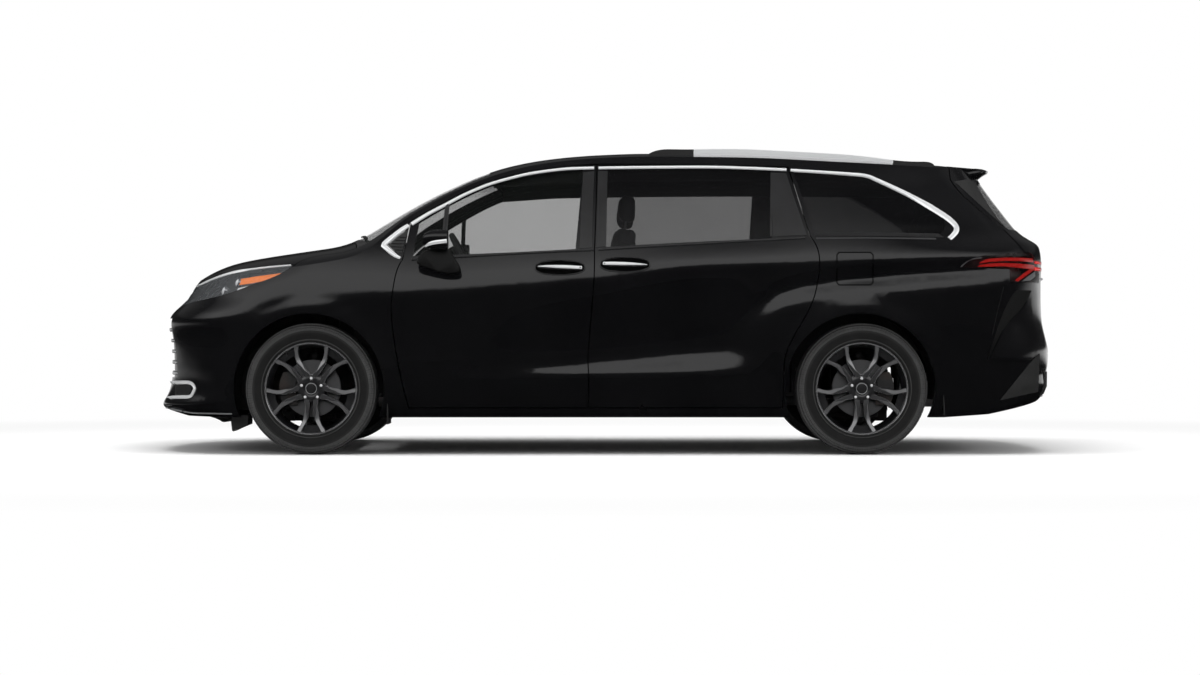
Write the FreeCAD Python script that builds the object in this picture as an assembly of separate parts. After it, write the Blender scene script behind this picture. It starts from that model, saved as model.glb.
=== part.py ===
import FreeCAD
import Part
import math
import os
from FreeCAD import Vector

# A seven-seat minivan, in millimetres. It faces -X, its left side is -Y and it stands on Z = 0.

# Overall sizes
overall_length = 5170.0
half_track = 857.0
wheelbase = 3060.0
front_axle_x = -1622.0
rear_axle_x = front_axle_x + wheelbase
front_x = -overall_length / 2
rear_x = overall_length / 2
belt_lean = 0.33
glass_curve = 0.00018

# Wheels and brakes
tyre_radius = 366.0
tyre_width = 235.0
tyre_corner = 42.0
rim_radius = 268.0
rim_width = 208.0
rim_wall = 9.0
hub_radius = 74.0
hub_thickness = 46.0
spoke_thickness = 28.0
spoke_count = 5
disc_radius = 160.0
disc_thickness = 26.0
stub_radius = 22.0
running_gap = 0.3
steer_pivot_y = 785.0
steer_limit = 35.0

# Body walls and gaps
door_gap = 6.0
door_wall = 92.0
frame_wall = 38.0
fender_wall = 42.0
quarter_wall = 62.0
end_wall = 58.0
roof_wall = 36.0
hood_wall = 26.0
glass_recess = 3.0
glass_thickness = 5.0
sill_bottom_z = 205.0
door_bottom_z = 259.0
floor_z = 335.0
floor_thickness = 20.0
rear_floor_z = 470.0
arch_radius = 418.0
liner_radius = 436.0
liner_wall = 8.0
liner_inner_y = 534.0
arch_shift = 12.0
reach_y = 1300.0

# Surface grid
wall_levels = [170, 195, 220, 245, 275, 310, 350, 390, 425, 455, 485, 520, 555, 590, 630, 675, 725, 775, 820,
               860, 900, 935, 970, 1000, 1030, 1060, 1090, 1120, 1150, 1185, 1225, 1275, 1330, 1390, 1450,
               1510, 1570, 1630, 1690, 1750]
nose_stations = 12
side_stations = 64
tail_stations = 10
nose_depth = 640.0
tail_depth = 430.0
nose_power = 2.35
tail_power = 2.9

parts_folder = "parts"


# Small helpers

def curve_through(points, t):
    """A smooth value at t through (t, value) points that never overshoots them."""
    if t <= points[0][0]:
        return points[0][1]
    if t >= points[-1][0]:
        return points[-1][1]
    last = len(points) - 1
    i = next(k for k in range(last) if points[k + 1][0] >= t)

    def rise(k):
        return (points[k + 1][1] - points[k][1]) / (points[k + 1][0] - points[k][0])

    def slope(k):
        if k == 0:
            return rise(0)
        if k == last:
            return rise(last - 1)
        before, after = rise(k - 1), rise(k)
        return 0.0 if before * after <= 0 else 2 * before * after / (before + after)

    width = points[i + 1][0] - points[i][0]
    u = (t - points[i][0]) / width
    start = (2 * u ** 3 - 3 * u ** 2 + 1) * points[i][1] + (u ** 3 - 2 * u ** 2 + u) * slope(i) * width
    return start + (3 * u ** 2 - 2 * u ** 3) * points[i + 1][1] + (u ** 3 - u ** 2) * slope(i + 1) * width


def step_between(low, high, value):
    """0 below low, 1 above high and smooth between."""
    u = min(1.0, max(0.0, (value - low) / (high - low)))
    return u * u * (3 - 2 * u)


def save(name, shape):
    solids = shape.Solids
    shape = solids[0] if len(solids) == 1 else Part.makeCompound(solids)
    shape.exportStep(os.path.join(parts_folder, name + ".step"))


def mirrored(shape):
    return shape.mirror(Vector(0, 0, 0), Vector(0, 1, 0))


def both_sides(shape):
    return Part.makeCompound([shape, mirrored(shape)])


def block(x_low, x_high, y_low, y_high, z_low, z_high):
    return Part.makeBox(x_high - x_low, y_high - y_low, z_high - z_low, Vector(x_low, y_low, z_low))


def sided_block(x_low, x_high, side, y_near, y_far, z_low, z_high):
    """A block on the left (side -1) or right (side 1), between two distances from the centre plane."""
    y_low, y_high = sorted((side * y_near, side * y_far))
    return block(x_low, x_high, y_low, y_high, z_low, z_high)


def rod(start, end, radius):
    start, end = Vector(*start), Vector(*end)
    return Part.makeCylinder(radius, (end - start).Length, start, end - start)


def largest(shape):
    return max(shape.Solids, key=lambda s: s.Volume)


def rounded_slab(x_low, x_high, y_low, y_high, z_low, z_high, radius):
    slab = block(x_low, x_high, y_low, y_high, z_low, z_high)
    return slab.makeFillet(radius, slab.Edges)


# Outlines: a list of chains. Each chain gives its points apart from the next chain's first one.

def outline_points(chains):
    return [p for chain in chains for p in chain]


def grown(chains, distance):
    """The same outline moved outwards by a distance."""
    points = outline_points(chains)
    count = len(points)
    area = sum(points[i - 1][0] * points[i][1] - points[i][0] * points[i - 1][1] for i in range(count))
    side = 1.0 if area > 0 else -1.0
    moved = []
    for i, p in enumerate(points):
        before, after = points[i - 1], points[(i + 1) % count]
        normals = []
        for a, b in ((before, p), (p, after)):
            length = math.hypot(b[0] - a[0], b[1] - a[1])
            normals.append(((b[1] - a[1]) / length * side, (a[0] - b[0]) / length * side))
        (ax, az), (bx, bz) = normals
        scale = distance / (1 + ax * bx + az * bz)
        moved.append((p[0] + (ax + bx) * scale, p[1] + (az + bz) * scale) + tuple(p[2:]))
    result, k = [], 0
    for chain in chains:
        result.append(moved[k:k + len(chain)])
        k += len(chain)
    return result


def outline_wire(chains, place):
    """A closed wire. Chains of two points are straight and longer ones are smooth."""
    edges = []
    for i, chain in enumerate(chains):
        points = [place(p) for p in chain] + [place(chains[(i + 1) % len(chains)][0])]
        if len(points) == 2:
            edges.append(Part.makeLine(points[0], points[1]))
        else:
            spline = Part.BSplineCurve()
            spline.interpolate(points)
            edges.append(spline.toShape())
    return Part.Wire(edges)


def side_prism(chains, y_out, y_in, grow=0.0):
    """An outline in X and Z pushed through the left side. A third value on a point leans its edge."""
    chains = grown(chains, grow) if grow else chains

    def at(y):
        def place(p):
            lean = p[2] if len(p) > 2 else 0.0
            return Vector(p[0] - lean * (side_y(p[0], p[1]) - abs(y)), y, p[1])
        return place
    leans = any(len(p) > 2 for p in outline_points(chains))
    if leans:
        return Part.makeLoft([outline_wire(chains, at(y_out)), outline_wire(chains, at(y_in))], True, True)
    return Part.Face(outline_wire(chains, at(y_out))).extrude(Vector(0, y_in - y_out, 0))


def plan_prism(chains, z_low, z_high, grow=0.0):
    chains = grown(chains, grow) if grow else chains
    wire = outline_wire(chains, lambda p: Vector(p[0], p[1], z_low))
    return Part.Face(wire).extrude(Vector(0, 0, z_high - z_low))


def rear_prism(chains, x_low, x_high, grow=0.0):
    chains = grown(chains, grow) if grow else chains
    wire = outline_wire(chains, lambda p: Vector(x_low, p[0], p[1]))
    return Part.Face(wire).extrude(Vector(x_high - x_low, 0, 0))


# Body surface: the side as a half width at each x and z

widest_line = [(-2600, 940), (-2100, 974), (-1622, 986), (-1150, 978), (-300, 975), (700, 978), (1438, 984),
               (2000, 972), (2600, 930)]
shoulder_line = [(-1700, 850), (-1165, 875), (-57, 959), (519, 1043), (1197, 1062), (1996, 1098), (2500, 1110)]
belt_line = [(-2600, 1085), (-1240, 1090), (-1109, 1085), (-545, 1112), (0, 1146), (950, 1195), (1200, 1213),
             (1900, 1215), (2600, 1190)]
belt_inset_line = [(-2600, 46), (-1240, 44), (0, 40), (1400, 44), (1900, 66), (2300, 95), (2600, 110)]
cabin_inset_line = [(-2600, 30), (-1300, 26), (-900, 6), (0, 0), (1000, 6), (1700, 34), (2300, 70)]
sill_tuck = [(150, -120), (200, -66), (235, -32), (300, -11), (420, -2), (500, 0)]
ledge_depth_line = [(-1150, 0), (-810, 2), (-56, 18), (521, 30), (680, 26), (900, 0)]
ledge_top_line = [(-1150, 430), (-810, 452), (-56, 514), (521, 580), (700, 600)]
ledge_bottom_z = 440.0
haunch_line = [(650, 640), (732, 692), (981, 897), (1197, 947), (1480, 980), (1996, 1020), (2300, 1035)]
haunch_depth_line = [(640, 0), (980, 15), (1438, 16), (2000, 14), (2400, 4)]
groove_depth_line = [(700, 0), (1000, 8), (1438, 13), (2300, 10)]
flare_depth = 9.0
flare_radius = 478.0
flare_width = 34.0


def side_y(x, z):
    """Half width of the body at a place on its side."""
    widest = curve_through(widest_line, x)
    shoulder = curve_through(shoulder_line, x)
    belt = max(curve_through(belt_line, x), shoulder + 60)
    if z >= shoulder:
        rise = min(1.0, (z - shoulder) / (belt - shoulder))
        y = widest - curve_through(belt_inset_line, x) * rise ** 1.5
        if z > belt:
            up = z - belt
            y -= belt_lean * up + glass_curve * up * up
            y -= curve_through(cabin_inset_line, x) * step_between(0, 300, up)
    else:
        y = widest - 0.015 * (shoulder - z) + curve_through(sill_tuck, z)
    return y + side_forms(x, z, shoulder)


def side_forms(x, z, shoulder):
    """The pressed forms: the door's ledge, the rear haunch with the groove over it, and the arch flares."""
    top = curve_through(ledge_top_line, x)
    rise = step_between(ledge_bottom_z, top, z) * (1 - step_between(top + 60, shoulder - 20, z))
    y = -curve_through(ledge_depth_line, x) * rise
    ridge = curve_through(haunch_line, x)
    below = ridge - z
    y += curve_through(haunch_depth_line, x) * step_between(0, 110, below) * (1 - step_between(260, 620, below))
    groove = 1 - min(1.0, abs(below) / (46 if below > 0 else 75))
    y -= curve_through(groove_depth_line, x) * groove * groove * (3 - 2 * groove)
    for axle in (front_axle_x, rear_axle_x):
        far = math.hypot(x - axle + arch_shift, z - tyre_radius)
        y += flare_depth * (1 - step_between(flare_radius - flare_width, flare_radius + flare_width, far))
    return y


def wall_inset(x, z):
    """Thickness of the body's side wall."""
    lower = curve_through([(-1340, fender_wall), (-1230, door_wall), (1230, door_wall), (1330, quarter_wall)], x)
    belt = curve_through(belt_line, x)
    return lower + (frame_wall - lower) * step_between(belt - 70, belt + 10, z)


nose_line = [(150, 141), (195, 96), (225, 39), (258, -7), (280, -1), (310, 25), (380, 49), (450, 57), (600, 53),
             (700, 39), (745, 31), (790, 53), (830, 103), (863, 141), (915, 173), (975, 213), (1050, 291),
             (1200, 431), (1750, 691)]
tail_line = [(150, 300), (250, 110), (300, 50), (350, 12), (400, 6), (440, 14), (480, 4), (577, 0), (640, 14),
             (760, 40), (930, 44), (1060, 40), (1120, 44), (1185, 50), (1200, 68), (1230, 140), (1365, 245),
             (1486, 332), (1620, 420), (1750, 500)]


def nose_x(z):
    return front_x + curve_through(nose_line, z)


def tail_x(z):
    return rear_x - curve_through(tail_line, z)


def wall_column_points(z, side_inset, nose_inset, tail_inset):
    """One level of the left wall from the nose centre to the tail centre, as (x, half width)."""
    x_front, x_rear = nose_x(z) + nose_inset, tail_x(z) - tail_inset
    points = []
    for i in range(nose_stations):
        turn = math.pi / 2 * i / nose_stations
        x = x_front + nose_depth * (1 - math.cos(turn) ** (2 / nose_power))
        points.append((x, (side_y(x, z) - side_inset(x, z)) * math.sin(turn) ** (2 / nose_power)))
    start, end = x_front + nose_depth, x_rear - tail_depth
    for i in range(side_stations + 1):
        x = start + (end - start) * i / side_stations
        points.append((x, side_y(x, z) - side_inset(x, z)))
    for i in range(tail_stations - 1, -1, -1):
        turn = math.pi / 2 * i / tail_stations
        x = x_rear - tail_depth * (1 - math.cos(turn) ** (2 / tail_power))
        points.append((x, (side_y(x, z) - side_inset(x, z)) * math.sin(turn) ** (2 / tail_power)))
    return points


def surface_from(grid):
    """A smooth bicubic face that follows a grid of points."""
    degree = 3
    spans = [len(grid) - degree, len(grid[0]) - degree]
    knots = [[float(k) for k in range(n + 1)] for n in spans]
    repeats = [[degree + 1] + [1] * (n - 1) + [degree + 1] for n in spans]
    surface = Part.BSplineSurface()
    surface.buildFromPolesMultsKnots(grid, repeats[0], repeats[1], knots[0], knots[1], False, False, degree, degree)
    return surface.toShape()


def wall_solid(side_inset, nose_inset, tail_inset):
    """A closed drum inside the body's walls."""
    levels = [(z, wall_column_points(z, side_inset, nose_inset, tail_inset)) for z in wall_levels]
    faces = []
    for side in (-1, 1):
        columns = len(levels[0][1])
        grid = [[Vector(points[i][0], side * points[i][1], z) for z, points in levels] for i in range(columns)]
        faces.append(surface_from(grid))
    caps = []
    for level in (wall_levels[0], wall_levels[-1]):
        rim = [e for f in faces for e in f.Edges
               if e.BoundBox.ZLength < 1e-6 and abs(e.BoundBox.ZMin - level) < 1e-6]
        caps.append(Part.Face(Part.Wire(Part.__sortEdges__(rim))))
    return Part.Solid(Part.Shell(faces + caps))


# Body surface: the hood, windscreen and roof as a height at each x and y

centre_line = [(-2640, 640), (-2520, 800), (-2460, 895), (-2400, 955), (-2350, 992), (-2300, 1022), (-2228, 1057),
               (-2134, 1088), (-1993, 1116), (-1805, 1145), (-1663, 1166), (-1569, 1180), (-1475, 1208),
               (-1381, 1256), (-1287, 1312), (-1193, 1366), (-1099, 1417), (-1005, 1467), (-911, 1513),
               (-752, 1583), (-576, 1643), (-399, 1681), (-223, 1703), (-46, 1716), (218, 1725), (700, 1723),
               (1351, 1698), (1613, 1681), (1962, 1652), (2230, 1622), (2700, 1560)]
sweep_line = [(-2640, 90), (-1900, 90), (-1500, 105), (-1250, 90), (-1090, 62), (-800, 55), (2700, 50)]
crown_line = [(-2640, 34), (-1500, 30), (-1000, 28), (-400, 40), (2700, 46)]
drop_line = [(-2640, 40), (-1200, 38), (-400, 62), (2700, 62)]


def roof_z(x, y):
    """Height of the hood, windscreen or roof."""
    share = abs(y) / 760.0
    sweep = curve_through(sweep_line, x) * share ** 2
    crown = curve_through(crown_line, x) * share ** 2
    return curve_through(centre_line, x - sweep) - crown - curve_through(drop_line, x) * (abs(y) / 930.0) ** 6


def roof_solid(inset):
    """Everything under the hood, windscreen and roof."""
    columns, rows, half = 90, 28, 1080.0
    first, last = front_x - 70, rear_x + 130
    xs = [first + (last - first) * i / columns for i in range(columns + 1)]
    ys = [-half + 2 * half * j / rows for j in range(rows + 1)]
    grid = [[Vector(x, y, roof_z(x, y) - inset(x)) for y in ys] for x in xs]
    return surface_from(grid).extrude(Vector(0, 0, -2600))


def roof_inset(x):
    return hood_wall + (roof_wall - hood_wall) * step_between(-1500, -1350, x)


# Panel outlines on the left side, as x and z on the skin

sweep_back = 0.24
front_door_lead = [(-1080, door_bottom_z), (-1126, 451), (-1163, 673), (-1174, 821), (-1163, 932), (-1124, 1070)]
front_door = [front_door_lead,
              [(-1115, 1084)],
              [(-1077, 1300), (-860, 1423), (-581, 1547), (-300, 1606)],
              [(-34, 1629, sweep_back)],
              [(-48, 1137, sweep_back)],
              [(-84, 544, sweep_back)],
              [(-84, door_bottom_z, sweep_back)]]
sliding_door = [[(-84, door_bottom_z, sweep_back)],
                [(-84, 544, sweep_back)],
                [(-48, 1137, sweep_back)],
                [(-34, 1629, sweep_back), (266, 1627), (549, 1624)],
                [(1041, 1609)],
                [(1152, 1211), (1196, 1117), (1200, 1043), (1189, 951), (1148, 821), (1055, 654)],
                [(1004, 520)],
                [(996, door_bottom_z)]]
front_window = [[(-1060, 1104)],
                [(-1030, 1290), (-860, 1390), (-581, 1518), (-300, 1576)],
                [(-113, 1594)],
                [(-153, 1142), (-545, 1122)]]
sliding_window = [[(17, 1154)],
                  [(26, 1597), (480, 1597)],
                  [(945, 1588)],
                  [(941, 1200), (480, 1180)]]
quarter_window = [[(1180, 1226)],
                  [(1070, 1582), (1300, 1576)],
                  [(1500, 1556), (1709, 1447)],
                  [(1880, 1335), (1912, 1285)],
                 [(1880, 1228)]]
corner_window = [[(-1222, 1162)],
                 [(-1104, 1256)],
                 [(-1130, 1112)]]
fuel_flap = [[(1296, 955)],
             [(1296, 1108)],
             [(1308, 1122)],
             [(1482, 1122)],
             [(1496, 1108)],
             [(1496, 955)],
             [(1482, 941)],
             [(1308, 941)]]
front_handle = (-239, 1038)
sliding_handle = (122, 1055)
handle_half_length = 140.0
handle_half_height = 38.0
handle_depth = 24.0
flap_thickness = 16.0
pocket_depth = 48.0
bumper_line = [(-1900, 690), (-1975, 790), (-2057, 883)]
front_bumper_side = [[(-2900, 100)],
                     [(-1850, 100)],
                     [(-1850, 640)],
                     bumper_line,
                     [(-2057, 1040)],
                     [(-2900, 1040)]]
hood_lower_line = [(-2440, 928), (-2373, 943), (-2209, 988), (-2039, 1024), (-1722, 1053)]
hood_side = [[(-2900, 928)],
             hood_lower_line,
             [(-1250, 1056)],
             [(-1250, 1500)],
             [(-2900, 1500)]]
headlamp = [[(-2470, 824)],
            [(-2400, 832), (-2329, 849), (-2093, 895), (-1951, 943), (-1774, 1014)],
            [(-1724, 1052)],
            [(-1724, 1070)],
            [(-2039, 1060)],
            [(-2470, 960)]]
headlamp_inner_y = 440.0
fender_side = [[(-2900, 256)],
               [(-1030, 256)],
               [(-1030, 1000)],
               [(-1118, 1084)],
               [(-1250, 1130)],
               [(-1330, 1200)],
               [(-1330, 1500)],
               [(-2900, 1500)]]
rear_bumper_side = [[(1740, 100)],
                    [(1740, 620)],
                    [(1787, 658), (1833, 690), (1886, 712), (2050, 728)],
                    [(2196, 737)],
                    [(2256, 958)],
                    [(2900, 958)],
                    [(2900, 100)]]
tail_lamp = [[(1979, 1040), (2042, 1084), (2133, 1108), (2240, 1119)],
             [(2347, 1127)],
             [(2900, 1127)],
             [(2900, 958)],
             [(2262, 958)],
             [(2262, 1029)]]
tailgate_front_x = 1965.0
tailgate_line = [(tailgate_front_x, 1545), (1989, 1504), (2068, 1417), (2158, 1338), (2253, 1263), (2317, 1180)]
tailgate_upper = [[(tailgate_front_x, 1800)],
                  tailgate_line,
                  [(2357, 1125)],
                  [(2900, 1125)],
                  [(2900, 1800)]]
tailgate_lower_half = [(825, 1140), (825, 1125), (712, 1040), (650, 900), (620, 560)]
rear_window_half = [(470, 1545), (560, 1530), (640, 1400), (716, 1290), (700, 1262)]
grille_slot_half = [(436, 918), (436, 862)]
grille_half = [(515, 760), (600, 420)]

# Panel outlines from above, as x and y on the right, front to back

hood_half = [(-2900, 1100), (-1722, 1100), (-1722, 945), (-1692, 872), (-1640, 815), (-1500, 803), (-1385, 800)]
hood_rear_half = [(-1398, 690), (-1440, 450), (-1482, 200)]
hood_rear_x = -1500.0
screen_lower_half = [(-1330, 790), (-1372, 600), (-1425, 350)]
screen_lower_x = -1452.0
screen_upper_half = [(-657, 350), (-640, 560)]
screen_upper_x = -668.0
screen_corner = (-622, 648)
screen_side = (-1000, 737)
cowl_half_width = 803.0
roof_half_width = 612.0


def hood_plan():
    right = [[hood_half[0]], [hood_half[1]], hood_half[2:-1]]
    rear = hood_rear_half + [(hood_rear_x, 0)] + [(x, -y) for x, y in reversed(hood_rear_half)]
    left = [(x, -y) for x, y in reversed(hood_half)]
    return right + [[hood_half[-1]] + rear, left[:-3], [left[-3]], [left[-2]], [left[-1]]]


def screen_plan():
    lower = screen_lower_half + [(screen_lower_x, 0)] + [(x, -y) for x, y in reversed(screen_lower_half[1:])]
    upper = [(x, -y) for x, y in reversed(screen_upper_half)] + [(screen_upper_x, 0)] + screen_upper_half
    near = [(screen_lower_half[0][0], -screen_lower_half[0][1]), (screen_side[0], -screen_side[1])]
    return [lower, near, [(screen_corner[0], -screen_corner[1])] + upper, [screen_corner, screen_side]]


def roof_plan():
    y = roof_half_width
    return [[(-760, -y)], [(-760, y)], [(tailgate_front_x - door_gap / 2, y)], [(tailgate_front_x - door_gap / 2, -y)]]


def cowl_plan():
    y = cowl_half_width
    return [[(-1560, -y)], [(-1560, y)], [(-1300, y)], [(-1300, -y)]]


def rear_outline(half):
    return [[p] for p in half] + [[(-y, z)] for y, z in reversed(half)]


def wheel_wells(radius, y_inner, y_outer=reach_y):
    """Cylinders across all four wheels."""
    wells = []
    for axle in (front_axle_x, rear_axle_x):
        for side in (-1, 1):
            start = Vector(axle - arch_shift, side * y_inner, tyre_radius)
            wells.append(Part.makeCylinder(radius, y_outer - y_inner, start, Vector(0, side, 0)))
    return wells


# Body shell

def underside_limit():
    """The body's outline from the side, which trims its underside."""
    points = [(-2900, 262), (front_x + 40, 250), (-2350, 206), (-2000, sill_bottom_z), (1900, sill_bottom_z),
              (2150, 222), (2480, 290), (2900, 340), (2900, 2000), (-2900, 2000)]
    chains = [[p] for p in points]
    wire = outline_wire(chains, lambda p: Vector(p[0], -reach_y, p[1]))
    return Part.Face(wire).extrude(Vector(0, 2 * reach_y, 0))


def body_solids():
    """The outer body, its hollow, and the shell between them."""
    no_inset = lambda x, z: 0.0
    outer = wall_solid(no_inset, 0, 0).common(roof_solid(lambda x: 0.0)).common(underside_limit())
    hollow = wall_solid(wall_inset, end_wall, end_wall).common(roof_solid(roof_inset))
    shell = outer.cut(hollow)
    return outer, hollow, shell


def cut_panels(outer, hollow, shell):
    """All outer panels and their glass, by name."""
    half_gap = door_gap / 2
    y = -reach_y
    front_prism = side_prism(front_door, y, -560, -half_gap)
    slide_prism = side_prism(sliding_door, y, -560, -half_gap)
    door_holes = [side_prism(front_door, y, -500, half_gap), side_prism(sliding_door, y, -500, half_gap)]
    door_holes += [mirrored(hole) for hole in door_holes]
    window_prisms = [side_prism(w, y, -500) for w in (front_window, sliding_window, quarter_window, corner_window)]
    hood_cut = plan_prism(hood_plan(), 880, 1500, half_gap).common(side_prism(hood_side, y, reach_y, half_gap))
    hood_prism = plan_prism(hood_plan(), 880, 1500, -half_gap).common(side_prism(hood_side, y, reach_y, -half_gap))
    gate_cut = tailgate_prism(half_gap)
    lamp_prism = side_prism(headlamp, y, -headlamp_inner_y)
    lamps = [lamp_prism, mirrored(lamp_prism)]
    rear_lamp_prism = side_prism(tail_lamp, y, -300)
    rear_lamps = [rear_lamp_prism, mirrored(rear_lamp_prism)]
    screen_prism = plan_prism(screen_plan(), 1000, 1900)
    roof_prism = plan_prism(roof_plan(), 1300, 1900)
    cowl_prism = plan_prism(cowl_plan(), 1000, 1500)
    nose_prism = side_prism(front_bumper_side, y, reach_y)
    tail_prism = side_prism(rear_bumper_side, y, reach_y)
    fender_prism = side_prism(fender_side, y, 0)
    grille_prism = rear_prism(rear_outline(grille_half), -2900, -2250)
    slot_prism = rear_prism(rear_outline(grille_slot_half), -2900, -2250)
    arches = wheel_wells(arch_radius, liner_inner_y)
    side_windows = window_prisms[2:] + [mirrored(w) for w in window_prisms[2:]]
    panels = {}

    door = largest(shell.common(front_prism))
    panels["front_door_left"] = largest(door.cut([window_prisms[0], handle_pocket(front_handle)]))
    door = largest(shell.common(slide_prism))
    panels["sliding_door_left"] = largest(door.cut([window_prisms[1], handle_pocket(sliding_handle)]))
    panels["hood"] = largest(shell.common(hood_prism))
    panels["front_bumper"] = largest(shell.common(nose_prism).cut([hood_cut, grille_prism, slot_prism]
                                                                   + lamps + arches))
    panels["grille"] = grille_bars(shell, hollow, [grille_prism, slot_prism])
    panels["rear_bumper"] = largest(shell.common(tail_prism).cut([gate_cut] + rear_lamps + arches))
    gate = largest(shell.common(tailgate_prism(-half_gap)))
    rear_window = rear_prism(rear_outline(rear_window_half), 1900, 2700)
    panels["tailgate"] = largest(gate.cut(rear_window))
    roof_piece = shell.common(roof_prism)
    panels["roof"] = largest(roof_piece.cut([screen_prism, gate_cut])).fuse(gate_hinge_blocks())
    cowl = largest(shell.common(cowl_prism).cut([screen_prism, hood_cut]))
    panels["cowl"] = cowl.fuse(hood_hinge_blocks())
    fender = shell.common(fender_prism)
    fender = fender.cut([nose_prism, hood_cut, lamp_prism, door_holes[0], screen_prism, cowl_prism,
                         window_prisms[3]] + arches)
    panels["fender_left"] = largest(fender).fuse(door_hinge_blocks())
    side = shell.common(block(-1340, 2700, y, 0, 150, 1900))
    side = side.cut([fender_prism, tail_prism, gate_cut, roof_prism, screen_prism, cowl_prism, rear_lamp_prism]
                    + door_holes[:2] + window_prisms[2:] + arches)
    panels["body_side_left"] = largest(side)
    panels["headlamps"] = both_sides(largest(shell.common(lamp_prism).cut(hood_cut)))
    panels["tail_lamps"] = both_sides(largest(shell.common(rear_lamp_prism).cut([gate_cut, tail_prism])))
    near = wall_solid(flat(glass_recess), glass_recess, glass_recess)
    deep = glass_recess + glass_thickness
    far = wall_solid(flat(deep), deep, deep)
    panes = [largest(near.common(prism).cut(far)) for prism in window_prisms]
    panels["front_door_glass_left"] = panes[0]
    panels["sliding_door_glass_left"] = panes[1]
    roof_near = roof_solid(lambda x: glass_recess)
    roof_far = roof_solid(lambda x: deep)
    screen = largest(roof_near.common(screen_prism).cut(roof_far))
    panels["fixed_glass"] = Part.makeCompound([screen] + panes[2:] + [mirrored(p) for p in panes[2:]])
    panels["tailgate_glass"] = largest(near.common(rear_window).common(roof_near).cut(far))
    for name in ("front_door_left", "sliding_door_left", "fender_left", "body_side_left",
                 "front_door_glass_left", "sliding_door_glass_left"):
        panels[name.replace("left", "right")] = mirrored(panels[name])
    flap_y = flap_inner_y()
    panels["fuel_flap"] = largest(shell.common(side_prism(fuel_flap, y, -flap_y, -half_gap)))
    pocket = side_prism(fuel_flap, y, -(flap_y + flap_thickness - pocket_depth), half_gap)
    panels["body_side_left"] = largest(panels["body_side_left"].cut(pocket)).fuse(flap_hinge_block())
    return panels


def flat(depth):
    return lambda x, z: depth


def handle_pocket(centre):
    """An oval pocket behind a door handle, sunk a fixed depth into the left side."""
    x, z = centre
    count = 12
    ring = []
    for i in range(count):
        angle = 2 * math.pi * i / count
        ring.append((x + handle_half_length * math.cos(angle), z + handle_half_height * math.sin(angle)))
    spline = Part.BSplineCurve()
    spline.interpolate([Vector(px, -reach_y, pz) for px, pz in ring], PeriodicFlag=True)
    depth = reach_y - (side_y(x, z) - handle_depth)
    return Part.Face(Part.Wire([spline.toShape()])).extrude(Vector(0, depth, 0))


def tailgate_prism(grow):
    """The tailgate's room: its side outline above the lamps and its rear outline below them."""
    upper = side_prism(tailgate_upper, -reach_y, reach_y, grow)
    lower = rear_prism(rear_outline(tailgate_lower_half), 2200, 2900, grow)
    return upper.fuse(lower)


grille_bar_pitch = 62.0
grille_bar_height = 20.0
grille_recess = 12.0
beam_x = -2441.0


def grille_bars(shell, hollow, openings):
    """Horizontal bars across both grille openings, the panel close behind them and three upright ribs."""
    bars = []
    z = 436.0
    while z < 740:
        bars.append(block(-2900, -2250, -640, 640, z, z + grille_bar_height))
        z += grille_bar_pitch
    slot_bar = block(-2900, -2250, -440, 440, 880, 900)
    ribs = Part.makeCompound([block(-2700, beam_x, y - 9, y + 9, 440, 730) for y in (-200, 0, 200)])
    lower, slot = [shell.common(opening) for opening in openings]
    panels = []
    for face, rows in ((lower, Part.makeCompound(bars)), (slot, slot_bar)):
        behind = face.copy()
        behind.translate(Vector(grille_recess, 0, 0))
        panels.append(behind.fuse(face.common(rows)))
    panels[0] = panels[0].fuse(hollow.common(ribs)).cut([front_beam(), front_rail(-1), front_rail(1)])
    return Part.makeCompound([largest(panel) for panel in panels])


def front_beam():
    return block(beam_x, beam_x + 40, -720, 720, 500, 600)


def front_rail(side):
    end = firewall_x + floor_thickness
    return sided_block(beam_x, end, side, rail_inner_y, rail_outer_y, rail_bottom_z, rail_bottom_z + 100)


# Wheels

def ring(radius_out, radius_in, y_low, y_high):
    outer = Part.makeCylinder(radius_out, y_high - y_low, Vector(0, y_low, 0), Vector(0, 1, 0))
    return outer.cut(Part.makeCylinder(radius_in, y_high - y_low, Vector(0, y_low, 0), Vector(0, 1, 0)))


def turned(points):
    """A profile of (y, radius) points turned about the wheel's axle."""
    wire = Part.makePolygon([Vector(r, y, 0) for y, r in points + points[:1]])
    return Part.Face(wire).revolve(Vector(0, 0, 0), Vector(0, 1, 0), 360)


def tyre():
    """A tyre about the origin, its outer side towards -Y."""
    half, shoulder = tyre_width / 2, tyre_radius - tyre_corner
    bead = rim_radius - 16
    profile = [(-half + 26, bead), (-half + 4, bead + 34), (-half, bead + 62), (-half + 5, shoulder),
               (-half + 16, tyre_radius - 14), (-half + 34, tyre_radius - 3), (-half + 70, tyre_radius),
               (half - 70, tyre_radius), (half - 34, tyre_radius - 3), (half - 16, tyre_radius - 14),
               (half - 5, shoulder), (half, bead + 62), (half - 4, bead + 34), (half - 26, bead)]
    return turned(profile)


def spoke(side):
    """One rib of a twin spoke, which leans away from its twin. It lies along +X."""
    outer = [(56, 26), (150, 47), (rim_radius - 32, 67), (rim_radius - 22, 34), (110, 8), (56, 6)]
    face = -rim_width / 2 + 14
    points = [Vector(x, face, side * y) for x, y in outer]
    rib = Part.Face(Part.makePolygon(points + points[:1])).extrude(Vector(0, spoke_thickness, 0))
    dish = turned([(face - 1, 60), (face - 1, rim_radius), (face + 2, rim_radius - 20), (face + 12, 60)])
    return rib.cut(dish)


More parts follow.
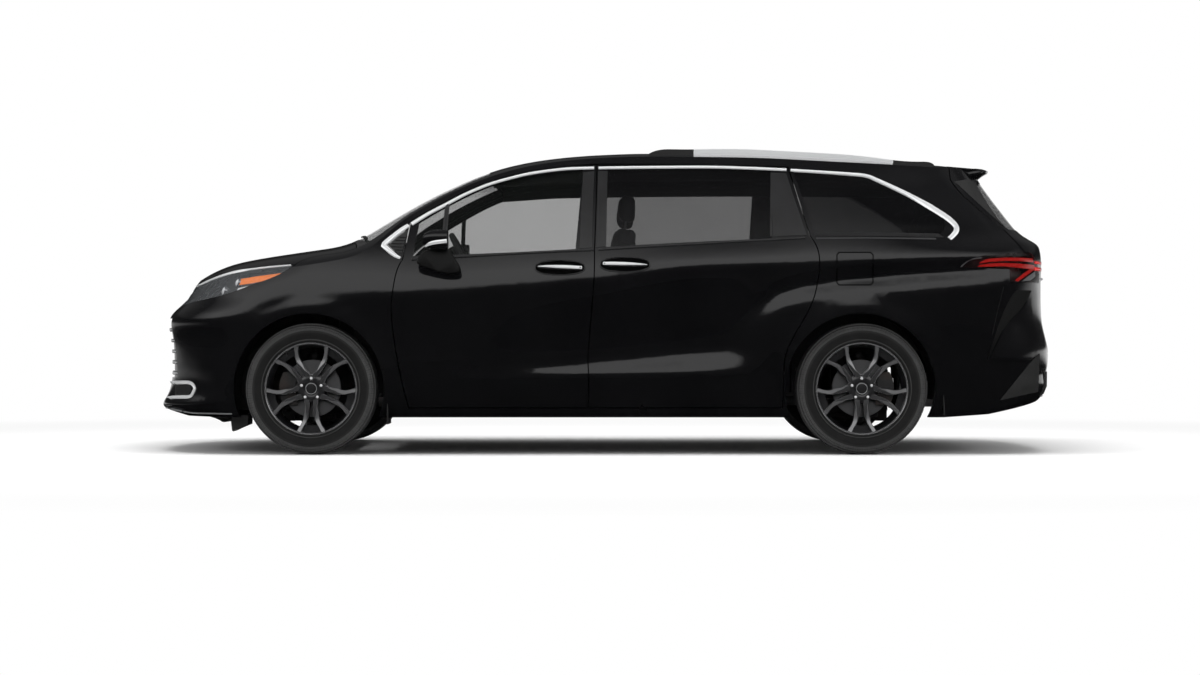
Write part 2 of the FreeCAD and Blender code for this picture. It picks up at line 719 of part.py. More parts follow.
def rim():
    """A twin-spoke rim with its brake disc, its outer side towards -Y."""
    half = rim_width / 2
    inside, seat = rim_radius - 30, rim_radius - 17
    profile = [(-half, rim_radius - 2), (-half + 9, rim_radius), (-half + 11, seat), (-half + 52, seat),
               (-half + 84, inside + 2), (half - 40, inside + 2), (half - 11, seat), (half - 9, rim_radius),
               (half, rim_radius - 2), (half - 2, seat - 8), (half - 42, inside - rim_wall),
               (-half + 82, inside - rim_wall), (-half + 46, seat - 8), (-half + 12, seat - 6)]
    body = turned(profile)
    face = -half + 24
    hub = Part.makeCylinder(hub_radius, hub_thickness, Vector(0, face, 0), Vector(0, 1, 0))
    ribs = []
    for i in range(spoke_count):
        for side in (-1, 1):
            rib = spoke(side)
            rib.rotate(Vector(0, 0, 0), Vector(0, 1, 0), 90 + 360 / spoke_count * i)
            ribs.append(rib)
    body = body.fuse(ribs + [hub])
    disc_face = face + hub_thickness
    disc = ring(disc_radius, stub_radius + running_gap, disc_face, disc_face + disc_thickness)
    hat = ring(hub_radius, stub_radius + running_gap, disc_face - 1, disc_face + disc_thickness)
    bore = Part.makeCylinder(stub_radius + running_gap, hub_thickness + 40, Vector(0, face + 12, 0), Vector(0, 1, 0))
    body = body.fuse([disc, hat]).cut(bore)
    return largest(body)


def wheel_places():
    return {"front_left": (front_axle_x, -1), "front_right": (front_axle_x, 1),
            "rear_left": (rear_axle_x, -1), "rear_right": (rear_axle_x, 1)}


def at_wheel(shape, axle_x, side):
    shape = shape.copy()
    if side > 0:
        shape.rotate(Vector(0, 0, 0), Vector(0, 0, 1), 180)
    shape.translate(Vector(axle_x, side * half_track, tyre_radius))
    return shape


def build_wheels():
    one_tyre, one_rim = tyre(), rim()
    one_tyre = one_tyre.cut(rim_seat_cutter())
    for name, (axle_x, side) in wheel_places().items():
        save("tyre_" + name, at_wheel(one_tyre, axle_x, side))
        save("rim_" + name, at_wheel(one_rim, axle_x, side))


def rim_seat_cutter():
    """The rim's outer envelope, so that the tyre's beads sit on it."""
    half, seat = rim_width / 2, rim_radius - 17
    return turned([(-half, 0), (-half, rim_radius - 2), (-half + 9, rim_radius), (-half + 11, seat),
                   (half - 11, seat), (half - 9, rim_radius), (half, rim_radius - 2), (half, 0)])


# Knuckles, calipers and suspension, on the left

disc_inner_y = half_track + rim_width / 2 - 24 - hub_thickness - disc_thickness
caliper_half = 32.0
arm_pivot_y = 520.0
strut_y = 592.0
strut_top_z = tyre_radius + liner_radius - 1.7
engine_bottom_z = 232.0
apron_top_z = 914.0
apron_z = 560.0
rail_inner_y = 430.0
rail_outer_y = 510.0
rail_bottom_z = 480.0
ball_radius = 17.0
lower_ball_z = tyre_radius - 165
upper_ball_z = tyre_radius + 165


def knuckle(axle_x, ahead):
    """The carrier of one left wheel: stub axle, upright, arm and brake caliper, which lies ahead or behind."""
    y_face = -(disc_inner_y - 8)
    stub_end = -(half_track + rim_width / 2 - 24 - 14)
    y = -steer_pivot_y
    stub = rod((axle_x, stub_end, tyre_radius), (axle_x, y, tyre_radius), stub_radius)
    carrier = rod((axle_x, y_face, tyre_radius), (axle_x, y - 4, tyre_radius), 62)
    upright = block(axle_x - 22, axle_x + 22, y - 20, y + 20, lower_ball_z + 12, upper_ball_z - 12)
    arm = rod((axle_x, y, tyre_radius - 40), (axle_x - ahead * 118, y + 50, tyre_radius - 60), 15)
    caliper = ring(disc_radius + 22, disc_radius - 66, -caliper_half, caliper_half)
    caliper = caliper.common(block(disc_radius - 80, disc_radius + 40, -60, 60, -92, 92))
    caliper = caliper.cut(ring(disc_radius + 5, 1, -disc_thickness / 2 - 3, disc_thickness / 2 + 3))
    if ahead < 0:
        caliper = caliper.mirror(Vector(0, 0, 0), Vector(1, 0, 0))
    caliper.translate(Vector(axle_x, -(disc_inner_y + disc_thickness / 2), tyre_radius))
    low, high = sorted((axle_x + ahead * 20, axle_x + ahead * (disc_radius - 30)))
    bracket = block(low, high, y_face + 4, y_face + 34, tyre_radius - 30, tyre_radius + 30)
    return largest(stub.fuse([carrier, upright, arm, caliper, bracket]))


def wishbones(axle_x, gap):
    """Lower and upper arms of one left wheel, with ball pins a gap short of the upright."""
    y = -steer_pivot_y
    pieces = [rod((axle_x, y, lower_ball_z - 12), (axle_x, y, lower_ball_z + 12 - gap), ball_radius),
              rod((axle_x, y, upper_ball_z - 12 + gap), (axle_x, y, upper_ball_z + 12), ball_radius)]
    for z, inner, spread, rise, radius in ((lower_ball_z - 14, -390, 150, 20, 17),
                                           (upper_ball_z + 14, -arm_pivot_y, 60, 0, 12)):
        for ahead in (-1, 1):
            pieces.append(rod((axle_x, y, z), (axle_x + ahead * spread, inner, z + rise), radius))
        pieces.append(Part.makeSphere(23, Vector(axle_x, y, z)))
    return pieces


def front_suspension():
    """Subframe, arms and spring legs under the engine."""
    x = front_axle_x
    top = engine_bottom_z
    pieces = []
    for piece in wishbones(x, running_gap):
        pieces += [piece, mirrored(piece)]
    rails = [block(x - 210, x - 150, -470, 470, top - 62, top), block(x + 150, x + 210, -470, 470, top - 62, top),
             block(x - 210, x + 210, -430, -370, top - 62, top), block(x - 210, x + 210, 370, 430, top - 62, top)]
    for side in (-1, 1):
        leg = rod((x, side * strut_y, 190), (x, side * strut_y, strut_top_z), 22)
        spring = rod((x, side * strut_y, 610), (x, side * strut_y, strut_top_z - 10), 54)
        pieces += [leg, spring, sided_block(x - 100, x + 100, side, strut_y - 16, strut_y + 16, 184, 212),
                   sided_block(x - 170, x - 90, side, rail_inner_y, 470, top - 30, rail_bottom_z),
                   sided_block(x - 75, x + 75, side, rail_outer_y, arm_pivot_y + 12, apron_z - 26, apron_z)]
    return rails[0].fuse(rails[1:] + pieces)


def rear_suspension():
    """Subframe, arms, carriers and springs at the rear."""
    x = rear_axle_x
    pieces = []
    carrier = knuckle(x, 1)
    for piece in wishbones(x, 0) + [carrier]:
        pieces += [piece, mirrored(piece)]
    rails = [block(x - 200, x - 140, -470, 470, 230, 300), block(x + 140, x + 200, -470, 470, 230, 300),
             block(x - 200, x + 200, -440, -370, 170, 300), block(x - 200, x + 200, 370, 440, 170, 300)]
    for side in (-1, 1):
        pieces += [rod((x + 90, side * 500, 195), (x + 90, side * 500, rail_bottom_z), 50),
                   sided_block(x - 40, x + 120, side, 430, 520, 190, 240),
                   sided_block(x - 40, x + 40, side, 430, 465, 290, rail_bottom_z),
                   sided_block(x - 75, x + 75, side, rail_outer_y, arm_pivot_y + 12, 530, 560)]
    return rails[0].fuse(rails[1:] + pieces)


# Cabin furniture

front_seat_lean = 5.0
seat_lean = 13.0


def seat(x, y, width, floor, height, back_height, lean):
    """A seat with its base, cushion, leaning back and head restraint."""
    half = width / 2
    seat_z = floor + height
    base = block(x + 60, x + 440, y - half + 60, y + half - 60, floor, seat_z + 10)
    cushion = rounded_slab(x, x + 520, y - half, y + half, seat_z, seat_z + 165, 45)
    hinge_z = seat_z + 90
    back = rounded_slab(x + 430, x + 570, y - half + 10, y + half - 10, hinge_z, seat_z + back_height, 50)
    head_z = seat_z + back_height + 30
    wide = min(130, half - 30)
    head = rounded_slab(x + 455, x + 545, y - wide, y + wide, head_z, head_z + 175, 38)
    posts = rod((x + 500, y, head_z - 60), (x + 500, y, head_z + 30), 20)
    for piece in (back, head, posts):
        piece.rotate(Vector(x + 480, y, hinge_z), Vector(0, 1, 0), lean)
    return largest(base.fuse([cushion, back, head, posts]))


def dashboard():
    """Dashboard with its instrument hood, and the centre console."""
    back = firewall_x + floor_thickness
    profile = [(back, 1050), (back, 600), (-1010, 600), (-960, 780), (-930, 930), (-960, 1010), (-1080, 1062)]
    wire = Part.makePolygon([Vector(x, -770, z) for x, z in profile + profile[:1]])
    board = Part.Face(wire).extrude(Vector(0, 1540, 0))
    console = rounded_slab(-1040, -180, -130, 130, floor_z, 700, 30)
    hood = rounded_slab(-1110, -945, -560, -180, 960, 1118, 30)
    return board.fuse([console, hood])


wheel_tilt = 62.0
column_point = Vector(-790, -370, 1080)


def steering_wheel():
    """Rim, three spokes and boss, about the column."""
    ring_shape = Part.makeTorus(182, 16, Vector(0, 0, 0), Vector(0, 0, 1))
    boss = Part.makeCylinder(62, 60, Vector(0, 0, -48), Vector(0, 0, 1))
    arms = [rod((0, 0, -20), (math.cos(a) * 176, math.sin(a) * 176, -2), 14) for a in (0, math.pi, -math.pi / 2)]
    wheel = boss.fuse([ring_shape] + arms)
    wheel.rotate(Vector(0, 0, 0), Vector(0, 1, 0), wheel_tilt)
    wheel.translate(column_point)
    return largest(wheel)


# Underbody

mid_floor_x = 1080.0
raised_floor_z = 590.0
cargo_floor_x = 1800.0
cargo_floor_z = 420.0
floor_half_width = 848.0
jack_z = 214.0
sill_height = 35.0
jack_pads_x = (-950.0, 880.0)
jack_pad_depth = 10.0
load_mat_ends = (1900.0, 2400.0)
load_mat_half = 500.0
load_mat_height = 4.0
side_floor_y = 520.0
floor_joint = 0.3
firewall_x = -1250.0


def underbody(hollow):
    """The front floor with the firewall and pillars, the rear floor, and a wheel housing on each side of it."""
    t = floor_thickness
    w = floor_half_width
    pieces = [block(firewall_x, mid_floor_x, -w, w, floor_z - t, floor_z),
              block(mid_floor_x, mid_floor_x + t, -w, w, floor_z - t, raised_floor_z),
              block(mid_floor_x, cargo_floor_x, -1000, 1000, raised_floor_z - t, raised_floor_z),
              block(cargo_floor_x - t, cargo_floor_x, -1000, 1000, cargo_floor_z - t, raised_floor_z),
              block(cargo_floor_x - t, 2470, -1000, 1000, cargo_floor_z - t, cargo_floor_z),
              block(*load_mat_ends, -load_mat_half, load_mat_half, cargo_floor_z - t, cargo_floor_z + load_mat_height),
              block(firewall_x, firewall_x + t, -1000, 1000, floor_z - t, 1075),
              front_beam()]
    for side in (-1, 1):
        near, far = rail_inner_y, rail_outer_y
        pieces += [front_rail(side),
                   sided_block(firewall_x, -1100, side, near, far, floor_z - t, rail_bottom_z + 100),
                   sided_block(mid_floor_x, cargo_floor_x, side, near, far, rail_bottom_z, raised_floor_z - t),
                   sided_block(-1150, mid_floor_x, side, 740, 1000, jack_z, jack_z + sill_height),
                   sided_block(-1150, mid_floor_x, side, 740, 770, jack_z, floor_z - t),
                   sided_block(front_axle_x - 110, front_axle_x + 110, side, 500, liner_inner_y + 6, apron_z, apron_top_z),
                   sided_block(front_axle_x - 110, front_axle_x + 110, side, 470, 530, apron_z, rail_bottom_z + 100)]
        for x in jack_pads_x:
            pieces.append(sided_block(x - 40, x + 40, side, 745, 795, jack_z - jack_pad_depth, jack_z + sill_height))
    pieces += centre_pillars()
    shape = pieces[0].fuse(pieces[1:])
    for axle in (front_axle_x, rear_axle_x):
        for side in (-1, 1):
            start = Vector(axle - arch_shift, side * liner_inner_y, tyre_radius)
            drum = Part.makeCylinder(liner_radius + liner_wall, 440, start, Vector(0, side, 0))
            drum = drum.common(block(-3000, 3000, -1000, 1000, 300, 1000))
            shape = shape.fuse(drum)
            if axle == rear_axle_x:
                wall = Part.makeCylinder(liner_radius + liner_wall, liner_wall, start, Vector(0, -side, 0))
                shape = shape.fuse(wall.common(block(-3000, 3000, -1000, 1000, raised_floor_z - t, 1000)))
    shape = hollow.common(shape.cut(wheel_wells(liner_radius, liner_inner_y)))
    beside = side_floor_y + floor_joint
    parts = [block(-3000, mid_floor_x - floor_joint, -reach_y, reach_y, 0, 2000),
             block(mid_floor_x, 3000, -side_floor_y, side_floor_y, 0, 2000),
             sided_block(mid_floor_x, 3000, -1, beside, reach_y, 0, 2000),
             sided_block(mid_floor_x, 3000, 1, beside, reach_y, 0, 2000)]
    return Part.makeCompound([largest(shape.common(part)) for part in parts])


def centre_pillars():
    """A post inside each pair of doors, from the floor to the roof."""
    points = [(-846, floor_z - 10), (-846, 1050), (-808, 1300), (-672, 1600), (-640, 1760), (-560, 1760),
              (-610, 1600), (-752, 1300), (-786, 1050), (-786, floor_z - 10)]
    wire = Part.makePolygon([Vector(-120, y, z) for y, z in points + points[:1]])
    post = Part.Face(wire).extrude(Vector(80, 0, 0))
    return [post, mirrored(post)]


def engine():
    return block(-2140, -1440, -410, 410, engine_bottom_z, 880)


def fuel_tank_and_exhaust():
    """Fuel tank, exhaust pipe and silencer under the floor."""
    tank = block(330, 980, -560, 560, 222, floor_z - floor_thickness)
    pipe = rod((-1350, 180, 262), (330, 180, 262), 28)
    tail = rod((980, 180, 270), (1230, 180, 270), 28)
    silencer = block(1820, 2260, -420, 420, 250, cargo_floor_z - floor_thickness)
    return tank.fuse([pipe, tail, silencer])


def roof_rails():
    """Low rails that stand on the roof along both sides."""
    top = [(252, 1690), (300, 1712), (420, 1720), (700, 1722), (1100, 1706), (1500, 1678), (1800, 1650),
           (1880, 1634), (1893, 1610)]
    points = [Vector(x, -638, z) for x, z in top]
    curve = Part.BSplineCurve()
    curve.interpolate(points)
    low = [Vector(1893, -638, 1500), Vector(252, -638, 1500)]
    edges = [curve.toShape(), Part.makeLine(points[-1], low[0]), Part.makeLine(low[0], low[1]),
             Part.makeLine(low[1], points[0])]
    rail = Part.Face(Part.Wire(edges)).extrude(Vector(0, 36, 0))
    rail = largest(rail.cut(roof_solid(lambda x: 0.0)))
    return both_sides(rail)


def mirror(door):
    """The left door mirror and the foot below it, which ends on the door."""
    housing = rounded_slab(-990, -856, -1132, -980, 1126, 1244, 32)
    outline = [(-1031, 1062), (-1024, 1092), (-1000, 1122), (-960, 1142), (-900, 1148), (-856, 1140), (-820, 1080),
               (-790, 1024), (-788, 1000), (-806, 986), (-850, 982), (-900, 992), (-960, 1012), (-1008, 1034)]
    wire = Part.makePolygon([Vector(x, -1052, z) for x, z in outline + outline[:1]])
    foot = Part.Face(wire).extrude(Vector(0, 62, 0))
    arm = block(-1000, -820, -1010, -900, 1020, 1090)
    return largest(housing.fuse([foot, arm]).cut(door))


# Hinges: blocks that bridge a gap from the fixed side almost to the moving panel

def door_hinge_blocks():
    blocks = []
    for z in (470.0, 880.0):
        edge = min(lead_edge_x(z), lead_edge_x(z + 60))
        y = side_y(edge, z)
        blocks.append(block(edge - 30, edge + door_gap / 2 - running_gap, -(y - 45), -(y - 80), z, z + 60))
    return blocks


def lead_edge_x(z):
    return curve_through([(p[1], p[0]) for p in front_door_lead], z)


def hood_hinge_blocks():
    """Blocks in the gap behind the hood's rear corners."""
    clear = plan_prism(hood_plan(), 1000, 1300, running_gap - door_gap / 2)
    blocks = [sided_block(-1425, -1372, side, 735, 765, 1136, 1150) for side in (-1, 1)]
    return [b.cut(clear) for b in blocks]


def gate_hinge_blocks():
    """Blocks in the gap ahead of the tailgate's top edge."""
    x = tailgate_front_x
    return [sided_block(x - 25, x + door_gap / 2 - running_gap, side, 380, 440, 1612, 1626) for side in (-1, 1)]


def flap_hinge_block():
    x = fuel_flap[0][0][0]
    y = flap_inner_y()
    return block(x - 12, x + door_gap / 2 - running_gap, -(y + flap_thickness - 4), -(y + 3), 1000, 1060)


def flap_inner_y():
    """Half width at the flap's flat inner side."""
    return min(side_y(x, z) for x in (1296, 1350, 1400, 1450, 1496) for z in (955, 1000, 1050, 1108)) - flap_thickness


def column():
    """The steering column from the dashboard to the wheel's boss."""
    angle = math.radians(wheel_tilt)
    axis = Vector(math.sin(angle), 0, math.cos(angle))
    end = column_point - axis * (48 + running_gap)
    return rod(tuple(column_point - axis * 300), tuple(end), 34)


# Joint places that follow from the surfaces, in millimetres

def front_door_axis():
    """Where the left front door's upright hinge axis meets the ground: just outside the skin at the door's edge."""
    x = min(p[0] for p in front_door_lead) - door_gap / 2
    widest = max(side_y(x + dx, 300 + 20 * i) for i in range(45) for dx in (0, door_gap))
    return x, -(widest + 1)


def flap_axis():
    x = fuel_flap[0][0][0]
    widest = max(side_y(x + dx, 940 + 10 * i) for i in range(19) for dx in (-3, 0, 3))
    return x, -(widest + 0.5)


# Build

def main():
    os.makedirs(parts_folder, exist_ok=True)
    outer, hollow, shell = body_solids()
    panels = cut_panels(outer, hollow, shell)
    for name, shape in panels.items():
        save(name, shape)
        box = shape.optimalBoundingBox()
        print(name, shape.isValid(), len(shape.Solids), round(shape.Volume / 1e6, 2), [round(v) for v in
              (box.XMin, box.XMax, box.YMin, box.YMax, box.ZMin, box.ZMax)])
    print("door axis", front_door_axis())
    print("flap axis", flap_axis())
    print("roof", roof_z(tailgate_front_x, 0), "hood", roof_z(-1400, 700), roof_z(-1500, 0))
    build_wheels()
    parts = {"underbody": underbody(hollow), "engine": engine(), "fuel_tank_and_exhaust": fuel_tank_and_exhaust(),
             "roof_rails": roof_rails(), "mirror_left": mirror(panels["front_door_left"]),
             "mirror_right": mirrored(mirror(panels["front_door_left"])),
             "dashboard": dashboard().fuse(column()), "steering_wheel": steering_wheel(),
             "front_suspension": front_suspension(), "rear_suspension": rear_suspension(),
             "knuckle_left": knuckle(front_axle_x, -1), "knuckle_right": mirrored(knuckle(front_axle_x, -1)),
             "seats": seats()}
    for name, shape in parts.items():
        save(name, shape)
        print(name, shape.isValid(), len(shape.Solids), round(shape.Volume / 1e6, 2))


def seats():
    """Two seats in front, two in the middle and a row of three at the rear."""
    pieces = []
    for y in (-390, 390):
        pieces.append(seat(-430, y, 500, floor_z, 190, 760, front_seat_lean))
        pieces.append(seat(480, y, 540, floor_z, 190, 670, seat_lean))
    for y in (-335, 0, 335):
        pieces.append(seat(1290, y, 330, raised_floor_z, 60, 560, seat_lean))
    return Part.makeCompound(pieces)


if __name__ == "__main__":
    main()
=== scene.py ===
import bpy
import bmesh
import math
import numpy
from mathutils import Matrix, Vector
from mathutils.bvhtree import BVHTree


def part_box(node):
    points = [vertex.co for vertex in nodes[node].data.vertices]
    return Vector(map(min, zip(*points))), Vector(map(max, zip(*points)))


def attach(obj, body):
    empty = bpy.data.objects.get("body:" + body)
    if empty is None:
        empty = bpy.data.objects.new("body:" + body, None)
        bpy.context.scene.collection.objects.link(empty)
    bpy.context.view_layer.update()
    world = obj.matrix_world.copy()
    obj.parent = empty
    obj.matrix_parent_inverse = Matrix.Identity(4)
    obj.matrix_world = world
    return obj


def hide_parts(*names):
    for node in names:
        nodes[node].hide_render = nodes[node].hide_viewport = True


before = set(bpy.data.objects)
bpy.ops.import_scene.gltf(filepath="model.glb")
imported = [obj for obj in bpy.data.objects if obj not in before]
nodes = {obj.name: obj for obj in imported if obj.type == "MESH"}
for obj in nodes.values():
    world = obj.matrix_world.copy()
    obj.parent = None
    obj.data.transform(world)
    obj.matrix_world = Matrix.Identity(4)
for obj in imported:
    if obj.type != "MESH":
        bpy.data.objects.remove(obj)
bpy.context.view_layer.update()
print("frame loaded:", len(nodes), "nodes")

# The camera stands level with the door handles' lower edge, 14 m to the left of the van.
view = {"lens": 70.5, "sensor": 36.0, "place": (-0.017, -14.0, 0.650), "width": 1200, "height": 675}
focal = view["lens"] / view["sensor"] * view["width"]
cameraPlace = Vector(view["place"])


def sightLine(px, py):
    return Vector(((px - view["width"] / 2) / focal, 1.0, (view["height"] / 2 - py) / focal)).normalized()


# shader nodes as sums

class Wire:
    def __init__(self, shade, socket):
        self.shade, self.socket = shade, socket

    def sum(self, operation, *others):
        return self.shade.maths(operation, self, *others)

    def __add__(self, other): return self.sum("ADD", other)
    def __radd__(self, other): return self.shade.maths("ADD", other, self)
    def __sub__(self, other): return self.sum("SUBTRACT", other)
    def __rsub__(self, other): return self.shade.maths("SUBTRACT", other, self)
    def __mul__(self, other): return self.sum("MULTIPLY", other)
    def __rmul__(self, other): return self.shade.maths("MULTIPLY", other, self)
    def __truediv__(self, other): return self.sum("DIVIDE", other)


class Shade:
    def __init__(self, name, tree=None):
        if tree is None:
            self.material = bpy.data.materials.new(name)
            self.material.use_nodes = True
            tree = self.material.node_tree
        self.tree = tree
        tree.nodes.clear()

    def node(self, kind, settings=None, **inputs):
        made = self.tree.nodes.new(kind)
        for key, value in (settings or {}).items():
            if key == "stops":
                ramp = made.color_ramp
                while len(ramp.elements) < len(value):
                    ramp.elements.new(0.5)
                for element, (place, colour) in zip(ramp.elements, value):
                    element.position, element.color = place, colour
            else:
                setattr(made, key, value)
        for key, value in inputs.items():
            self.feed(made.inputs[key.replace("_", " ")], value)
        return made

    def feed(self, socket, value):
        if isinstance(value, Wire):
            value = value.socket
        if isinstance(value, bpy.types.NodeSocket):
            self.tree.links.new(value, socket)
        elif isinstance(value, tuple) and len(value) == 3 and socket.type == "RGBA":
            socket.default_value = value + (1.0,)
        else:
            socket.default_value = value

    def maths(self, operation, *values):
        made = self.node("ShaderNodeMath", {"operation": operation})
        for socket, value in zip(made.inputs, values):
            self.feed(socket, value)
        return Wire(self, made.outputs[0])

    def clamp(self, value):
        return self.maths("MINIMUM", self.maths("MAXIMUM", value, 0.0), 1.0)

    def place(self, scale=(1, 1, 1), turn=(0, 0, 0)):
        coordinate = self.node("ShaderNodeTexCoord").outputs["Object"]
        if scale == (1, 1, 1) and turn == (0, 0, 0):
            return coordinate
        return self.node("ShaderNodeMapping", None, Vector=coordinate, Scale=scale, Rotation=turn).outputs[0]

    def noise(self, scale, detail=2.0, roughness=0.5, vector=None):
        made = self.node("ShaderNodeTexNoise", None, Vector=vector or self.place(), Scale=scale, Detail=detail,
                         Roughness=roughness)
        return Wire(self, made.outputs["Fac"])

    def cells(self, scale, output="Distance", feature="F1", vector=None):
        made = self.node("ShaderNodeTexVoronoi", {"feature": feature}, Vector=vector or self.place(), Scale=scale)
        return Wire(self, made.outputs[output])

    def mix(self, factor, first, second):
        made = self.node("ShaderNodeMix", {"data_type": "RGBA"})
        self.feed(made.inputs[0], factor)
        self.feed(made.inputs[6], first)
        self.feed(made.inputs[7], second)
        return made.outputs[2]

    def axis(self, letter):
        parts = self.node("ShaderNodeSeparateXYZ", None, Vector=self.place())
        return Wire(self, parts.outputs[letter])

    def attribute(self, name):
        return Wire(self, self.node("ShaderNodeAttribute", {"attribute_name": name}).outputs["Fac"])

    def bump(self, height, strength, distance=0.001):
        made = self.node("ShaderNodeBump", None, Strength=strength, Distance=distance, Height=height)
        return made.outputs[0]

    def finish(self, **inputs):
        principled = self.node("ShaderNodeBsdfPrincipled", None, **inputs)
        self.node("ShaderNodeOutputMaterial", None, Surface=principled.outputs[0])
        return self.material


# finishes

def blackPaint():
    s = Shade("blackPaint")
    flakes = s.noise(2600.0, 1.0)
    haze = s.noise(3.0, 3.0)
    colour = s.mix(flakes * haze, (0.0022, 0.0022, 0.0026), (0.0075, 0.0075, 0.0085))
    peel = s.noise(240.0, 2.0)
    return s.finish(Base_Color=colour, Roughness=0.2 + haze * 0.1, Specular_IOR_Level=0.12, Coat_Weight=0.9,
                    Coat_Roughness=0.025, Normal=s.bump(peel, 0.012))


def glossTrim():
    s = Shade("glossBlackTrim")
    haze = s.noise(9.0, 3.0)
    colour = s.mix(haze, (0.012, 0.012, 0.012), (0.02, 0.02, 0.021))
    return s.finish(Base_Color=colour, Roughness=0.13 + haze * 0.08, Normal=s.bump(s.noise(300.0), 0.01))


def grainedPlastic(name, dark, light, scale=900.0, rough=0.55, strength=0.35):
    s = Shade(name)
    grain = s.cells(scale)
    wear = s.noise(14.0, 4.0)
    colour = s.mix(wear, dark, light)
    return s.finish(Base_Color=colour, Roughness=rough + wear * 0.15, Normal=s.bump(grain, strength, 0.0006))


def tintedGlass(name, tint, alpha):
    s = Shade(name)
    haze = s.noise(5.0, 3.0)
    colour = s.mix(haze, tint, tuple(c * 1.15 for c in tint))
    return s.finish(Base_Color=colour, Roughness=0.02 + haze * 0.02, Alpha=alpha + haze * 0.02, IOR=1.5)


def screenAndQuarter():
    # one node holds the windscreen and the dark side panes, so the tint goes by how far back it is
    s = Shade("fixedGlass")
    haze = s.noise(5.0, 3.0)
    back = s.clamp((s.axis("X") + 0.35) * 50.0)
    height = s.axis("Z")
    shadeBand = s.clamp((height - 1.52) * 14.0) * (1 - back) * 0.25
    colour = s.mix(back, (0.006, 0.009, 0.008), (0.003, 0.003, 0.0035))
    return s.finish(Base_Color=colour, Roughness=0.02 + haze * 0.02, Alpha=0.30 + shadeBand + back * 0.37, IOR=1.5)


def brightMetal(name, colour, rough, brushed=(1, 1, 1), strength=0.02, metallic=1.0, lift=0.0):
    s = Shade(name)
    marks = s.noise(60.0, 5.0, 0.6, s.place(brushed))
    tone = s.mix(marks, colour, tuple(c * 0.86 for c in colour))
    # lift is a painted glow: emission in the metal's own tone, so the metal shines with no light on it
    return s.finish(Base_Color=tone, Metallic=metallic, Roughness=rough + marks * 0.08,
                    Normal=s.bump(marks, strength), Emission_Color=tone, Emission_Strength=lift)


def castMetal(name, colour, rust, rough=0.6):
    s = Shade(name)
    pits = s.noise(160.0, 5.0, 0.65)
    stains = s.clamp((s.noise(7.0, 5.0, 0.6) - 0.52) * 5.0)
    tone = s.mix(stains * rust, s.mix(pits, colour, tuple(c * 0.7 for c in colour)), (0.11, 0.045, 0.02))
    return s.finish(Base_Color=tone, Metallic=0.85 - stains * 0.5 * rust, Roughness=rough + pits * 0.25,
                    Normal=s.bump(pits, 0.3))


def rubber(name, dark, light):
    s = Shade(name)
    grain = s.noise(420.0, 4.0, 0.6)
    dust = s.clamp((s.noise(11.0, 5.0, 0.6) - 0.45) * 2.0)
    # the attribute mixes lighter rubber into the mould rings: painted highlight where the ridges catch the light
    colour = s.mix(s.attribute("machined"), s.mix(dust, dark, light), (0.075, 0.075, 0.074))
    return s.finish(Base_Color=colour, Roughness=0.62 + grain * 0.2, Specular_IOR_Level=0.35,
                    Normal=s.bump(grain, 0.22, 0.0008))


def wheelPaint():
    s = Shade("wheelPaint")
    flakes = s.noise(1900.0, 1.0)
    # the machined share mixes in bare metal: machined bevels and lips, at strengths set face by face as painted
    # highlight
    cut = s.attribute("machined")
    lathe = s.noise(700.0, 2.0)
    dark = s.mix(flakes, (0.018, 0.018, 0.019), (0.034, 0.034, 0.036))
    bare = s.mix(lathe, (0.50, 0.50, 0.51), (0.62, 0.62, 0.63))
    return s.finish(Base_Color=s.mix(cut, dark, bare), Metallic=0.45 + cut * 0.5, Roughness=0.3 - cut * 0.05,
                    Coat_Weight=1.0, Coat_Roughness=0.06, Normal=s.bump(lathe, 0.02))


def leather(name, dark, light):
    s = Shade(name)
    grain = s.cells(330.0, feature="SMOOTH_F1")
    creases = s.noise(26.0, 5.0, 0.6)
    colour = s.mix(creases, dark, light)
    height = grain + creases * 0.6
    return s.finish(Base_Color=colour, Roughness=0.42 + creases * 0.18, Normal=s.bump(height, 0.35, 0.0012))


def carpet():
    s = Shade("floorCarpet")
    pile = s.noise(700.0, 3.0, 0.7)
    tufts = s.cells(480.0)
    colour = s.mix(pile, (0.012, 0.012, 0.013), (0.04, 0.04, 0.042))
    return s.finish(Base_Color=colour, Roughness=0.95, Normal=s.bump(tufts + pile, 0.8, 0.002))


def lampShine(name, colour, glow=0.0, rough=0.12, ribs=0.0):
    s = Shade(name)
    haze = s.noise(35.0, 3.0)
    pattern = s.maths("SINE", s.axis("X") * 2200.0) * ribs + haze * 0.4
    tone = s.mix(haze, colour, tuple(c * 0.8 for c in colour))
    return s.finish(Base_Color=tone, Roughness=rough + haze * 0.05, Coat_Weight=1.0, Coat_Roughness=0.03,
                    Emission_Color=tone, Emission_Strength=glow, Normal=s.bump(pattern, 0.15))


def railMetalPaintedGlow():
    s = Shade("railFinish")
    x = s.axis("X")
    ends = s.clamp(((x - 1.648) * 400.0)) + s.clamp((0.517 - x) * 400.0)
    marks = s.noise(80.0, 5.0, 0.6, s.place((0.05, 1, 1)))
    silver = s.mix(marks, (0.90, 0.91, 0.92), (0.80, 0.81, 0.82))
    black = s.mix(marks, (0.012, 0.012, 0.012), (0.02, 0.02, 0.02))
    tone = s.mix(ends, silver, black)
    # the silver glows at strength 0.22: painted glow that stands for the rails' bright reflections; the black ends
    # stay dark
    return s.finish(Base_Color=tone, Metallic=0.5 - ends * 0.5, Roughness=0.24 + marks * 0.12 + ends * 0.15,
                    Emission_Color=tone, Emission_Strength=0.22)


